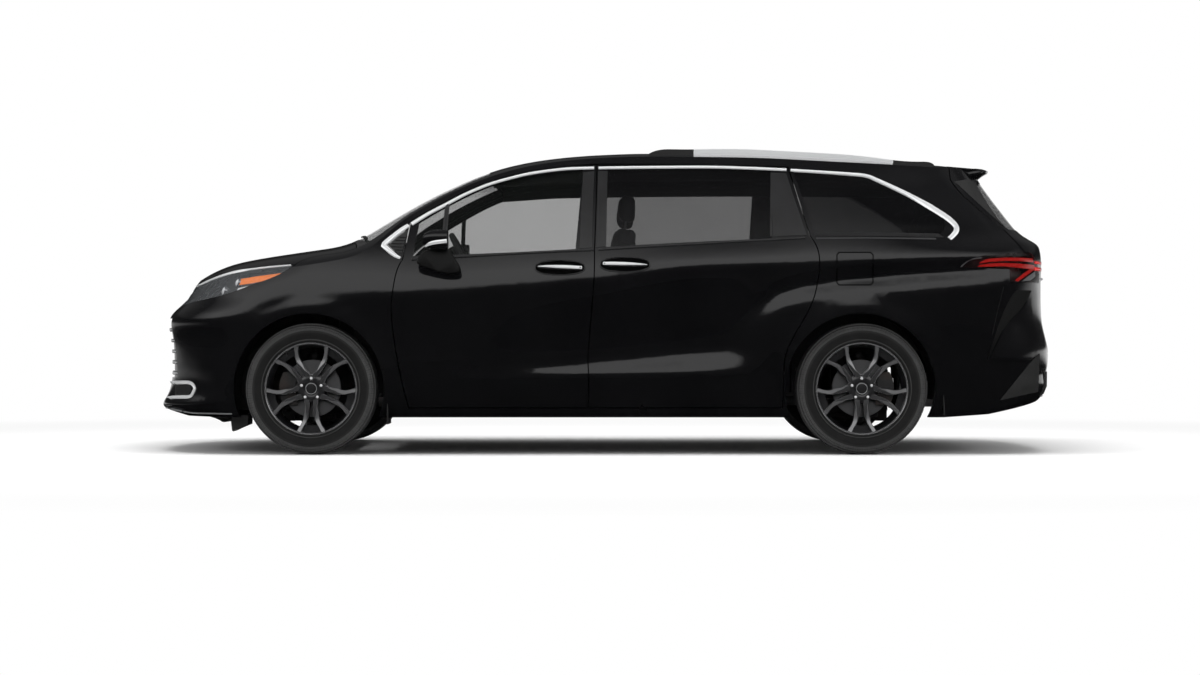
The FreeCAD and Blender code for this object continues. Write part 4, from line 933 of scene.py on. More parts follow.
handle = {"length": 0.262, "depth": 0.021, "front": (560.0, 267.6), "rear": (625.0, 264.6), "cup": (25.0, 7.3),
          "slope": -0.035, "stripWidths": [0.004, 0.010, 0.014, 0.0165, 0.0175, 0.0175, 0.016]}


def doorHandle(name, centre, body, blunt):
    # a dark cup with a rim, the pull that bridges it, and the chrome strip along the pull
    px, py = centre
    wide, tall = handle["cup"]
    rimLine = [(px + wide * u, py + tall * v) for u, v in softSquare(40, 0.75, 0.9, 1)]
    edge = [seen(*p) for p in rimLine]
    pair(name + "CupRim", *ribbon(edge, 0.007, 0.0025, 0.002, 5), gloss, body)
    above, below = seen(px, py - tall - 2.5), seen(px, py + tall + 2.5)
    spot, normal = (above[0] + below[0]) / 2, (above[1] + below[1]).normalized()
    along = Vector((1, 0, 0)) - normal * normal.x
    along.normalize()
    up = normal.cross(along)
    if up.z < 0:
        up = -up
    slope, length, rows, ring = handle["slope"], handle["length"], 26, 16
    points = []
    for i in range(rows):
        t = i / (rows - 1)
        u = (t - 0.5) * length
        share = t if blunt > 0 else 1 - t
        tallHere = (0.0105 + 0.0045 * share) * (1 - abs(2 * t - 1) ** 10) + 0.0006
        reach = handle["depth"] * (0.42 + 0.58 * (1 - abs(2 * t - 1) ** 2.6))
        for k in range(ring):
            a = 2 * math.pi * k / ring
            height, out = tallHere * math.sin(a), reach - 0.012 + 0.012 * math.cos(a)
            if abs(2 * t - 1) > 0.86:
                out = reach * (math.cos(a) * 0.5 + 0.5)
            points.append(spot + along * u + up * (height + slope * u) + normal * out)
    pair(name + "Pull", points, wrapped(rows, ring), gloss, body)
    strip = []
    for i in range(22):
        t = i / 21
        u = (t - 0.5) * length * 0.93
        reach = handle["depth"] * (0.42 + 0.58 * (1 - abs(2 * t * 0.93 + 0.07 - 1) ** 2.6))
        strip.append((spot + along * u + up * (slope * u + 0.001) + normal * (reach + 0.0006), normal))
    sizes = handle["stripWidths"][::blunt]
    pair(name + "Strip", *ribbon(strip, sizes, 0.0035, 0.004), chrome, body)
    keyPlace = length * 0.5 - 0.018
    key = spot + along * keyPlace * blunt + up * (slope * keyPlace * blunt) + normal * (handle["depth"] * 0.62)
    plug = lathe([(-0.0012, 0.0001), (-0.0012, 0.0036), (0.006, 0.0042), (0.006, 0.0001)], 20)
    turn = normal.to_track_quat("-Y", "Z").to_matrix().to_4x4()
    turn.translation = key + normal * 0.006
    pair(name + "Key", *moved(plug, turn), cabinPlastic, body)


doorHandle("frontHandle", handle["front"], "front_door_left", 1)
doorHandle("slidingHandle", handle["rear"], "vehicle", -1)
print("side trim made")

# Door mirrors

mirrorShape = {"x": (-0.990, -0.856), "y": (-1.126, -0.980), "z": (1.130, 1.244)}
mirrorStrip = [(425.4, 246.4), (429.5, 243.8), (436, 242.2), (446.8, 240.9)]
mirrorFoot = [(-1.029, 1.062), (-1.018, 1.096), (-0.986, 1.126), (-0.940, 1.143), (-0.885, 1.146), (-0.850, 1.136),
              (-0.824, 1.094), (-0.795, 1.048), (-0.790, 1.020), (-0.806, 1.005), (-0.850, 1.002), (-0.905, 1.012),
              (-0.960, 1.030), (-1.008, 1.047)]


def roundRing(x, size, ring):
    # one rounded section of the housing, at one length along the car
    y0, y1 = mirrorShape["y"]
    z0, z1 = mirrorShape["z"]
    spots = []
    for u, v in softSquare(ring, 0.55, 0.62):
        y = (y0 + y1) / 2 + (y1 - y0) / 2 * u * (0.55 + 0.45 * size)
        z = (z0 + z1) / 2 + (z1 - z0) / 2 * v * (0.30 + 0.70 * size)
        spots.append(Vector((x, y, z)))
    return spots


def doorMirror():
    x0, x1 = mirrorShape["x"]
    rows, ring = 22, 48
    points = []
    for i in range(rows):
        t = i / (rows - 1)
        points += roundRing(x0 + (x1 - x0) * t, math.sin(min(1.0, t * 1.6 + 0.04) * math.pi / 2) ** 0.55, ring)
    faces = wrapped(rows, ring)[:-1]
    last = (rows - 1) * ring
    rim = points[last:]
    centre = sum(rim, Vector()) / ring
    inner, deep = len(points), len(points) + ring
    points += [centre + (p - centre) * 0.92 for p in rim]
    points += [centre + (p - centre) * 0.92 - Vector((0.012, 0, 0)) for p in rim]
    for k in range(ring):
        j = (k + 1) % ring
        faces.append([last + k, last + j, inner + j, inner + k])
        faces.append([inner + k, inner + j, deep + j, deep + k])
    faces.append([deep + k for k in range(ring)][::-1])
    left, right = pair("mirrorHousing", points, faces, paint, "front_door_left")
    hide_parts("mirror_left")
    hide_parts("mirror_right")
    face = [centre + (p - centre) * 0.905 for p in rim]
    glass = [Vector((x1 - 0.0085, p.y, p.z)) for p in face] + [Vector((x1 - 0.0118, p.y, p.z)) for p in face]
    loops = [list(range(ring)), [ring + k for k in range(ring)][::-1]]
    loops += [[k, (k + 1) % ring, ring + (k + 1) % ring, ring + k] for k in range(ring)]
    pair("mirrorGlass", glass, loops, chrome, "front_door_left")
    # the bright strip along the housing's lower edge, and the foot below it on the door; the foot is the mirror's
    # black base, and it reaches down over the mirror's shadow on the door as painted shadow
    tree = BVHTree.FromPolygons(points, faces)
    strip = []
    for px, py in smoothLine(mirrorStrip, 28):
        direction = sightLine(px, py)
        hit = tree.ray_cast(cameraPlace, direction)
        if hit[0]:
            strip.append((hit[0], hit[1] if hit[1].dot(direction) < 0 else -hit[1]))
    if len(strip) > 4:
        pair("mirrorStrip", *ribbon(strip, [0.010, 0.019, 0.021, 0.021, 0.021], 0.003, 0.002, 5), chrome,
             "front_door_left")
    count, depths = 72, [(-0.974, 1.0), (-1.034, 1.0), (-1.043, 0.985), (-1.0495, 0.95), (-1.0515, 0.90)]
    outline = [Vector((x, 0, z)) for x, z in smoothLine(mirrorFoot + mirrorFoot[:1], count + 1)[:count]]
    middle = sum(outline, Vector()) / count
    body = []
    for y, size in depths:
        body += [Vector((middle.x + (p.x - middle.x) * size, y, middle.z + (p.z - middle.z) * size))
                 for p in outline]
    walls = [[i * count + k, i * count + (k + 1) % count, (i + 1) * count + (k + 1) % count, (i + 1) * count + k]
             for i in range(len(depths) - 1) for k in range(count)]
    walls += [list(range(count))[::-1], [(len(depths) - 1) * count + k for k in range(count)]]
    pair("mirrorFoot", body, walls, footBlackAndPaintedShadow, "front_door_left")


doorMirror()
print("mirrors made")

# Wheels. Each is made about the origin with its outer side towards -Y, then put on its axle.

rimLow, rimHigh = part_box("rim_front_left")
tyreLow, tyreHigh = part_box("tyre_front_left")
wheel = {"rim": (rimHigh.z - rimLow.z) / 2, "half": (rimHigh.y - rimLow.y) / 2,
         "tyre": (tyreHigh.z - tyreLow.z) / 2, "tyreHalf": (tyreHigh.y - tyreLow.y) / 2, "spokes": 5, "hub": 0.079,
         "nutCircle": 0.0575, "cap": 0.034, "ribDepth": 0.032, "disc": 0.160, "treadPitches": 80}
wheelNames = ["front_left", "front_right", "rear_left", "rear_right"]
reach = (wheel["rim"] - 0.020) / 0.248      # the spokes were measured on a rim of 0.268
# radius, half width of the slot between a spoke's two ribs, half width of the whole spoke, width of its lit bevel
ribTable = [(0.040, 0.0088, 0.036, 0.002), (0.066, 0.0088, 0.0385, 0.002), (0.080, 0.0090, 0.0385, 0.002),
            (0.096, 0.0098, 0.0350, 0.003), (0.112, 0.0110, 0.0338, 0.0045), (0.130, 0.0122, 0.0375, 0.0085),
            (0.146, 0.0138, 0.0405, 0.0140), (0.165, 0.0175, 0.0430, 0.0185), (0.183, 0.0235, 0.0465, 0.0190),
            (0.196, 0.0300, 0.0510, 0.0180), (0.212, 0.0385, 0.0580, 0.0170), (0.226, 0.0455, 0.0665, 0.0180),
            (0.238, 0.0510, 0.0735, 0.0190), (0.2485, 0.0565, 0.0785, 0.0190)]


def faceDepth(r):
    # how far the spokes' outer face lies from the wheel's centre plane
    return wheel["half"] - 0.020 + 0.012 * (r / 0.25) ** 2 - 0.010 * math.exp(-(r / 0.05) ** 2)


def spokePoint(r, w, middle, depth):
    # a point at radius r and sideways distance w of a spoke that points along the angle middle
    along = math.sqrt(max(r * r - w * w, 1e-6)) if r > 0.09 else r
    return Vector((along * math.cos(middle) - w * math.sin(middle), -depth,
                   along * math.sin(middle) + w * math.cos(middle)))


def ribSection(r, slot, whole, lit):
    # width and depth of a rib's eight corners
    face, foot, edge = faceDepth(r), faceDepth(r) - wheel["ribDepth"], 0.0026
    return [(whole + 0.004, foot), (whole + 0.0008, face - 0.016), (whole, face - 0.0015 - lit * 0.40),
            (whole - lit, face), (slot + edge, face - 0.0005), (slot, face - 0.0045),
            (slot - 0.0006, face - 0.012), (slot - 0.003, foot)]


def wheelRibs():
    # two ribs per spoke, and how much of each face is painted bright: machined metal on the bevels, and painted
    # highlight on the other faces
    table = smoothLine([(r * reach if r > 0.07 else r, *sizes) for r, *sizes in ribTable], 34)
    parts, cut = [], []
    for spoke in range(wheel["spokes"]):
        middle = math.radians(270 + 72 * spoke)
        for hand in (-1, 1):
            rows = [[spokePoint(row[0], hand * max(w, 0.001), middle, depth) for w, depth in ribSection(*row)]
                    for row in table]
            parts.append(stretched(rows))
            for row in table[:-1]:
                # bright share of each rib face by its corner number: the bevel is machined, and the part shares on
                # the other faces are painted highlight
                bright = {1: 0.08, 2: 0.36, 3: 0.05 + 0.20 * (row[0] > 0.200 * reach), 4: 0.80}
                cut += [bright.get(k, 0.0) for k in range(len(rows[0]))]
            cut += [0.0, 0.0]
    return *joined(parts), cut


def wheelWebs():
    # the sunk panel between a spoke's ribs at the rim
    points, faces = [], []
    table = [row[:2] for row in smoothLine([(row[0] * reach, *row[1:]) for row in ribTable if row[0] > 0.16], 16)
             if row[0] > 0.205 * reach]
    for spoke in range(wheel["spokes"]):
        middle = math.radians(270 + 72 * spoke)
        start = len(points)
        for r, slot in table:
            edge, inner = slot + 0.004, slot * 0.4
            for w, drop in ((-edge, 0.019), (-inner, 0.021), (inner, 0.021), (edge, 0.019)):
                for low in (0.0, 0.014):
                    points.append(spokePoint(r, w, middle, faceDepth(r) - drop - low))
        rows = len(table)
        for i in range(rows - 1):
            for j in range(3):
                for low in (0, 1):
                    a = start + i * 8 + j * 2 + low
                    loop = [a, a + 2, a + 10, a + 8]
                    faces.append(loop if low else loop[::-1])
        for j in range(3):
            a = start + j * 2
            faces.append([a, a + 2, a + 3, a + 1])
            b = start + (rows - 1) * 8 + j * 2
            faces.append([b, b + 1, b + 3, b + 2])
    return points, faces


def wheelBody():
    # barrel, hub and flange
    half, rim, seat = wheel["half"], wheel["rim"], wheel["rim"] - 0.017
    inside = rim - 0.030
    barrel = [(-half, rim - 0.006), (-half, rim - 0.0015), (-half + 0.004, rim), (-half + 0.009, rim),
              (-half + 0.011, seat), (-half + 0.052, seat), (-half + 0.084, inside + 0.002),
              (half - 0.040, inside + 0.002), (half - 0.011, seat), (half - 0.009, rim), (half - 0.001, rim),
              (half, rim - 0.003), (half - 0.002, seat - 0.008), (half - 0.042, inside - 0.009),
              (-half + 0.080, inside - 0.009), (-half + 0.044, seat - 0.009), (-half + 0.022, seat - 0.006),
              (-half + 0.012, seat - 0.003), (-half + 0.005, rim - 0.013), (-half + 0.0015, rim - 0.009)]
    hub = wheel["hub"]
    face = faceDepth(0.06)
    middle = [(-face + 0.006, 0.0005), (-face + 0.006, wheel["cap"] + 0.001),
              (-face + 0.0015, wheel["cap"] + 0.003), (-face, wheel["cap"] + 0.006), (-face, hub - 0.010),
              (-face + 0.004, hub - 0.002), (-face + 0.012, hub), (-face + 0.044, hub + 0.002),
              (-face + 0.046, hub - 0.012), (-face + 0.046, 0.0005)]
    return lathe(barrel, 112), lathe(middle, 80)


def put(shape, name):
    low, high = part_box("rim_" + name)
    axle = Vector(((low.x + high.x) / 2, (low.y + high.y) / 2, (low.z + high.z) / 2))
    turn = Matrix.Rotation(math.pi, 4, "Z") if name.endswith("right") else Matrix.Identity(4)
    turn.translation = axle
    return moved(shape, turn)


def wheelPiece(label, shape, name, material, sharp=30, cut=None):
    mesh = makeMesh(label + "_" + name, *put(shape, name))
    if cut is not None:
        machined = mesh.attributes.new("machined", "FLOAT", "FACE")
        if len(cut) == len(mesh.polygons):
            machined.data.foreach_set("value", cut)
    return piece(label + "_" + name, mesh, material, "wheel_" + name, None, sharp)


def tyreProfile():
    half, top, bead = wheel["tyreHalf"], wheel["tyre"], wheel["rim"] - 0.016
    side = top - bead
    outer = [(half - 0.026, bead), (half - 0.0145, bead + 0.006), (half - 0.0090, bead + 0.013),
             (half - 0.0065, bead + 0.0175), (half - 0.0068, bead + 0.022), (half - 0.0090, bead + 0.0245),
             (half - 0.0050, bead + side * 0.34), (half - 0.0010, bead + side * 0.45), (half, bead + side * 0.53),
             (half - 0.0010, bead + side * 0.60), (half - 0.0022, bead + side * 0.605),
             (half - 0.0026, bead + side * 0.625), (half - 0.0016, bead + side * 0.635),
             (half - 0.0034, bead + side * 0.70), (half - 0.0060, bead + side * 0.76),
             (half - 0.0078, bead + side * 0.77), (half - 0.0090, bead + side * 0.80),
             (half - 0.0130, bead + side * 0.86), (half - 0.0205, bead + side * 0.915),
             (half - 0.0300, top - 0.0105), (half - 0.0500, top - 0.0082), (half * 0.25, top - 0.0078)]
    inner = [(half - 0.040, bead + 0.002), (half - 0.034, bead + 0.03), (half - 0.030, top - 0.045),
             (half - 0.055, top - 0.028)]
    return [(-y, r) for y, r in outer] + outer[::-1] + inner + [(-y, r) for y, r in reversed(inner)]


def treadPitch():
    # one pitch of the tread at the top of the wheel, about the Y axis towards +X
    top, half = wheel["tyre"] - 0.0004, wheel["tyreHalf"]
    arc = 2 * math.pi * top / wheel["treadPitches"]
    parts = []

    def block(y0, y1, x0, x1, lean, r0, r1):
        # four corners of the top face and the same ones lower down
        corners = [(y0, x0 / top, r0), (y0, x1 / top, r0), (y1, (x1 + lean) / top, r1),
                   (y1, (x0 + lean) / top, r1)]
        points = [Vector(((r - low) * math.cos(angle), y, (r - low) * math.sin(angle)))
                  for low in (0.0, 0.0125) for y, angle, r in corners]
        return points, [[0, 1, 2, 3], [7, 6, 5, 4], [0, 4, 5, 1], [1, 5, 6, 2], [2, 6, 7, 3], [3, 7, 4, 0]]

    gap = arc * 0.10
    for hand in (-1, 1):
        for k in (0, 1):
            x0 = k * arc / 2 + gap * 0.5
            x1 = x0 + arc / 2 - gap * (1.0 if k else 0.55)
            # sides and drops of the shoulder block and the two lugs outside it
            for y0, y1, r0, r1 in ((0.0175, 0.062, 0.0045, 0.0006), (0.0062, 0.0362, 0.0180, 0.0042),
                                   (0.0016, 0.0122, 0.0305, 0.0175)):
                parts.append(block(hand * (half - y0), hand * (half - y1), x0, x1, 0.0, top - r0, top - r1))
        lean = hand * arc * 0.35
        parts.append(block(hand * 0.0480, hand * 0.0225, gap, arc - gap * 0.4, lean, top - 0.0004, top))
    parts.append(block(-0.0170, 0.0170, gap * 0.4, arc - gap * 0.2, arc * 0.16, top, top))
    return joined(parts)


def brakeDisc():
    place = -wheel["half"] + 0.070
    outer, inner = wheel["disc"], 0.078
    plates = [lathe([(place, inner), (place, outer - 0.001), (place + 0.001, outer), (place + 0.008, outer),
                     (place + 0.008, inner)], 96),
              lathe([(place + 0.018, inner), (place + 0.018, outer), (place + 0.025, outer),
                     (place + 0.026, outer - 0.001), (place + 0.026, inner)], 96),
              lathe([(place - 0.001, 0.030), (place - 0.001, 0.072), (place + 0.004, 0.078),
                     (place + 0.026, 0.078), (place + 0.026, 0.030)], 72)]
    vane = softBox((0.080, place + 0.008, -0.0022), (outer - 0.003, place + 0.018, 0.0022), 0.2, 1)
    return joined(plates + [repeated(vane, 40, discSteel)])


def nutsAndCap():
    face = faceDepth(0.06)
    nut = lathe([(-face - 0.0035, 0.0002), (-face - 0.0035, 0.0058), (-face - 0.001, 0.0085),
                 (-face + 0.012, 0.0090), (-face + 0.012, 0.0002)], 6)
    dome = lathe([(-face - 0.0060, 0.0002), (-face - 0.0052, 0.0042), (-face - 0.0030, 0.0062),
                  (-face + 0.002, 0.0062), (-face + 0.002, 0.0002)], 20)
    well = lathe([(-face - 0.0004, 0.0135), (-face - 0.0012, 0.0145), (-face - 0.0004, 0.0155),
                  (-face + 0.006, 0.0155), (-face + 0.006, 0.0100), (-face + 0.0008, 0.0100)], 32)
    nuts, wells = [], []
    for k in range(5):
        a = math.radians(90 + 72 * k)
        shift = Matrix.Translation((wheel["nutCircle"] * math.cos(a), 0, wheel["nutCircle"] * math.sin(a)))
        nuts += [moved(nut, shift), moved(dome, shift)]
        wells.append(moved(well, shift))
    cap = wheel["cap"]
    lid = lathe([(-face - 0.0030, 0.0002), (-face - 0.0026, cap * 0.55), (-face - 0.0012, cap * 0.80),
                 (-face - 0.0022, cap * 0.84), (-face - 0.0022, cap * 0.93), (-face + 0.0004, cap * 0.985),
                 (-face + 0.006, cap), (-face + 0.006, 0.0002)], 64)
    ring = lathe([(-face - 0.0032, cap * 0.84), (-face - 0.0036, cap * 0.885), (-face - 0.0030, cap * 0.93),
                  (-face - 0.0010, cap * 0.93), (-face - 0.0010, cap * 0.84)], 64)
    return joined(nuts), joined(wells), lid, ring


def valveStem():
    a = math.radians(126)
    r = wheel["rim"] - 0.030
    base = Vector((r * math.cos(a), -faceDepth(r) + 0.010, r * math.sin(a)))
    tip = base + Vector((-0.012 * math.cos(a), -0.020, -0.012 * math.sin(a)))
    return tube([base - (tip - base) * 0.6, base, base + (tip - base) * 0.6, tip, tip + (tip - base) * 0.1],
                [0.0045, 0.0040, 0.0034, 0.0038, 0.0034], 10)


ribs = wheelRibs()
webs = wheelWebs()
barrel, hubShape = wheelBody()
tyreBody = lathe(tyreProfile(), 128)
tread = repeated(treadPitch(), wheel["treadPitches"], tyreRubber)
disc = brakeDisc()
nuts, wells, lid, capRing = nutsAndCap()
valve = valveStem()
# painted highlight: how bright the tyre's mould rings and the rim's lips (bare metal at a painted-highlight
# strength) are painted, by their place in the turned outlines
ridges = {3: 0.5, 8: 0.12, 11: 0.55, 12: 0.30, 13: 0.35, 15: 0.35, 16: 0.35}
tyreRings = [ridges.get(i % len(tyreProfile()), 0.0) for i in range(len(tyreBody[1]))]
barrelParts = joined([barrel, hubShape, webs])
lipRings, lipBright, barrelRing = (0, 1, 12, 17, 18, 19), 0.55, 20
lipCut = [lipBright if i < len(barrel[1]) and i % barrelRing in lipRings else 0.0
          for i in range(len(barrelParts[1]))]
for name in wheelNames:
    body = wheelPiece("wheelRibs", ribs[:2], name, wheelFinish, 25, ribs[2])
    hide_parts("rim_" + name)
    wheelPiece("wheelBarrel", barrelParts, name, wheelFinish, 30, lipCut)
    wheelPiece("wheelNuts", nuts, name, chrome)
    wheelPiece("wheelNutWells", wells, name, plastic)
    wheelPiece("wheelCap", lid, name, gloss)
    wheelPiece("wheelCapRing", capRing, name, satin)
    wheelPiece("wheelValve", valve, name, plastic, 40)
    wheelPiece("brakeDisc", disc, name, discSteel)
    cover = wheelPiece("tyre", tyreBody, name, tyreRubber, 40, tyreRings)
    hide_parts("tyre_" + name)
    wheelPiece("tyreTread", tread, name, treadRubber)
print("wheels made")

# Lamps. A lamp node's outer faces become a thin lens and its inner faces the bowl behind it.

def splitShell(name, centre, sideSign):
    # outer, inner faces of one lamp, picked by which way they look from a point inside the van
    points, faces = nodeMesh([name])
    work = bmesh.new()
    for p in points:
        work.verts.new(p)
    work.verts.ensure_lookup_table()
    for loop in faces:
        try:
            work.faces.new([work.verts[i] for i in loop])
        except ValueError:
            pass
    bmesh.ops.remove_doubles(work, verts=work.verts, dist=2e-5)
    work.normal_update()
    groups = {"outer": [], "inner": []}
    for f in work.faces:
        middle = f.calc_center_median()
        if middle.y * sideSign < 0:
            continue
        outward = (middle - Vector(centre)).normalized()
        facing = f.normal.dot(outward)
        if facing > 0.35:
            groups["outer"].append([v.co.copy() for v in f.verts])
        elif facing < -0.35:
            groups["inner"].append([v.co.copy() for v in f.verts])
    work.free()
    return groups


def sheetFrom(loops, inset, thick):
    # loose faces merged, moved inwards along their own normals and given a thickness
    points, faces = [], []
    for loop in loops:
        start = len(points)
        points += loop
        faces.append(list(range(start, start + len(loop))))
    work = bmesh.new()
    made = [work.verts.new(p) for p in points]
    for loop in faces:
        work.faces.new([made[i] for i in loop])
    bmesh.ops.remove_doubles(work, verts=work.verts, dist=2e-5)
    work.normal_update()
    normals = {v: v.normal.copy() for v in work.verts}
    for v in work.verts:
        v.co = v.co - normals[v] * inset
    if thick:
        bmesh.ops.solidify(work, geom=list(work.faces), thickness=thick)
    work.verts.index_update()
    result = [v.co.copy() for v in work.verts], [[v.index for v in f.verts] for f in work.faces]
    work.free()
    return result


def plainPiece(name, shape, material):
    mesh = bpy.data.meshes.new(name)
    mesh.from_pydata([tuple(p) for p in shape[0]], [], shape[1])
    for polygon in mesh.polygons:
        polygon.use_smooth = True
    return piece(name, mesh, material)


def lampPair(node, centre, prefix, lensFinish):
    for sideSign, label in ((-1, "_left"), (1, "_right")):
        groups = splitShell(node, (centre[0], centre[1] * sideSign, centre[2]), sideSign)
        shield = plainPiece(prefix + "Lens" + label, sheetFrom(groups["outer"], 0.0008, -0.0025), lensFinish)
        bowl = plainPiece(prefix + "Bowl" + label, sheetFrom(groups["inner"], -0.010, 0.0), bowlShine)
        bowl.data.flip_normals()
        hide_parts(node)


lampPair("headlamps", (-1.75, -0.30, 0.72), "headlamp", lens)
lampPair("tail_lamps", (1.90, -0.55, 0.95), "tailLamp", smokedLens)


headlamp = {
    "brow": [(193.5, 288.0), (209.8, 280.2), (226.3, 274.2), (243, 270.4), (268, 267.2), (291.0, 265.2)],
    "amberTop": [(238.6, 278.0), (255, 275.4), (270, 273.6), (282.0, 272.2)],
    "amberFoot": [(238.2, 284.0), (252, 282.2), (266, 279.6), (281.0, 273.2)],
    "markerTop": [(237.0, 287.2), (243, 286.0), (250, 284.9)],
            "markerFoot": [(234.4, 291.6), (241, 289.8), (248, 287.6)],
    "fins": ([(206, 296.5), (214, 291), (222, 287)], [(210, 298.0), (219, 292.4), (228, 288.2)],
             [(203, 295), (210, 289.2), (217, 285.2)]),
    # place in the picture and radius of each projector
    "projectors": ((222.0, 289.5, 0.027), (236.0, 281.0, 0.023)),
    "browRise": 0.0004, "depth": 0.012, "finDepth": 0.014, "projectorDepth": 0.020}


def headlampInside():
    # the bright line along the top, the amber wedge, two projectors and the fins between them
    brow = sunk(skinLine(headlamp["brow"], 3.0, 0.006), -headlamp["browRise"])
    pair("headlampBrow", *ribbon(brow, [0.012, 0.018, 0.018, 0.016, 0.008], 0.004), chrome)
    inside = raised(-headlamp["depth"])
    pair("headlampAmber", *layer(headlamp["amberTop"], headlamp["amberFoot"], 22, 5, 0.0, 0.003, inside), amber)
    pair("headlampMarker", *layer(headlamp["markerTop"], headlamp["markerFoot"], 12, 4, 0.0, 0.003, inside),
         whiteGlow)
    fins = [sunk(seenLine(fin, 8, 0.006), headlamp["finDepth"])
            for fin in headlamp["fins"]]
    pair("headlampFins", *joined([ribbon(fin, 0.005, 0.003) for fin in fins]), mirrorBowl)
    units = []
    for px, py, size in headlamp["projectors"]:
        spot = seen(px, py, 0.006)
        if not spot:
            continue
        p, n = spot
        aim = (n + Vector((-0.9, 0, 0))).normalized()
        turn = aim.to_track_quat("-Y", "Z").to_matrix().to_4x4()
        turn.translation = p - n * headlamp["projectorDepth"]
        bulb = lathe([(-0.014, 0.0003), (-0.0125, size * 0.45), (-0.008, size * 0.78), (0.0, size * 0.92),
                      (0.010, size * 0.92), (0.010, 0.0003)], 40)
        collar = lathe([(-0.006, size), (-0.009, size * 1.06), (-0.006, size * 1.12), (0.014, size * 1.10),
                        (0.014, size * 0.94), (-0.004, size * 0.94)], 40)
        units.append((moved(bulb, turn), moved(collar, turn)))
    pair("headlampProjectors", *joined([u[0] for u in units]), whiteGlow)
    pair("headlampCollars", *joined([u[1] for u in units]), mirrorBowl)


headlampInside()


tailLamp = {
    "tailLampUpper": ([(981.5, 261.6), (988, 258.8), (1005, 257.6), (1020, 257.6), (1033.4, 258.4)],
                      [(979.0, 263.8), (988, 262.2), (1005, 261.0), (1020, 261.2), (1034.2, 262.4)]),
    "tailLampLower": ([(980.0, 265.0), (990, 263.6), (1004, 263.0), (1020, 263.6), (1035, 265.2)],
                      [(977.8, 266.8), (990, 266.6), (1004, 266.3), (1020, 267.8), (1035.6, 270.0)]),
    "tailLampDiagonal": ([(1015.4, 280.4), (1024.0, 273.4), (1034.6, 266.4)],
                         [(1018.4, 281.6), (1027.0, 275.6), (1035.2, 269.6)])}
reverseLamp = {"upper": [(1021.6, 281.4), (1029.0, 275.6), (1034.8, 271.6)],
               "lower": [(1029.6, 280.6), (1032.4, 278.8), (1034.9, 276.6)]}
tailLampTip = [(961.0, 267.0), (966, 262.4), (972, 259.2), (982, 257.6)]


def tailLampInside():
    # two lit bands that meet in a diagonal, the reverse lamp between them and the bright tip
    for name, (upper, lower) in tailLamp.items():
        shape = layer(upper, lower, 20, 4, 0.0, 0.002, raised(-0.004))
        if shape[0]:
            pair(name, *shape, redGlow)
    shape = layer(reverseLamp["upper"], reverseLamp["lower"], 12, 6, 0.0, 0.002, raised(0.0015))
    if shape[0]:
        pair("tailLampReverse", *shape, satin, "vehicle", "lamp_lens")
    edge = skinLine(tailLampTip, 2.0, 0.006)
    pair("tailLampTip", *ribbon(sunk(edge, 0.003), 0.006, 0.003), satin)


tailLampInside()
print("lamps made")

# Front: bars, fog frame, lower lip, tray and wipers
grilleSkin = BVHTree.FromPolygons(*nodeMesh(["grille", "front_bumper"]))

# heights in millimetres
grilleBars = {"count": 5, "lowest": 446, "pitch": 62}


def grilleTrim():
    # bright edges on the bars
    bars = []
    for k in range(grilleBars["count"]):
        z = (grilleBars["lowest"] + grilleBars["pitch"] * k) / 1000
        half = 0.590 - (z - 0.42) * 0.24
        rows = [frontSkin(-half + 2 * half * i / 60, z, 0.004, grilleSkin) for i in range(61)]
        rows = [row for row in rows if row]
        if len(rows) > 30:
            bars.append(ribbon(rows, [0.006] + [0.013] * 6 + [0.006], 0.003, 0.002))
    single("grilleBright", joined(bars), chrome)


grilleTrim()


fogHook = {
    "path": [(168, 382.6), (180, 382.4), (190, 382.8), (194.6, 387.2), (193.6, 391.6), (190.2, 396.4),
             (180, 397.0), (168, 397.2)],
    "meshTop": [(175, 384.6), (182, 384.4), (189, 384.8), (191.6, 387.4)],
    "meshFoot": [(175, 395.2), (182, 395.0), (189, 394.4), (191.2, 391.4)]}


def fogFrame():
    # the bright hook around the small mesh at the bumper's lower corner
    places = seenLine(fogHook["path"], 34, 0.008)
    pair("fogFrame", *ribbon(places, 0.020, 0.010, 0.006), chrome)
    pair("fogMesh", *layer(fogHook["meshTop"], fogHook["meshFoot"], 22, 10, 0.002, 0.003), meshBlack)


fogFrame()


lip = {"line": [(166, 408.6), (176, 411.0), (192, 414.0), (212, 414.6), (232, 415.0)], "above": 1.2,
       "middleHeight": 0.262, "middleBack": 0.004}


def lowerLip():
    # the satin lip along the bumper's foot, on both corners and between them
    places = [seen(x, y - lip["above"], 0.008) for x, y in smoothLine(lip["line"], 34)]
    pair("lowerLip", *ribbon(places, 0.010, 0.005, 0.004), satin)
    middle = [frontSkin(y / 1000, lip["middleHeight"], 0.010) for y in range(-620, 621, 31)]
    middle = [(spot + Vector((lip["middleBack"], 0, 0)), normal) for spot, normal in middle]
    single("lowerLipMiddle", ribbon(middle, [0.006, 0.012, 0.012, 0.006], 0.005, 0.004), satin)


# outlines from the side, in metres
trayLine = [(-2.345, 0.222), (-2.335, 0.206), (-2.260, 0.184), (-2.180, 0.161), (-2.130, 0.168), (-2.108, 0.182),
            (-2.112, 0.200), (-2.180, 0.190), (-2.260, 0.204)]
deflectorLine = [(-2.088, 0.215), (-2.090, 0.180), (-2.084, 0.128), (-2.078, 0.122), (-2.040, 0.140),
                 (-1.992, 0.160), (-1.990, 0.215)]


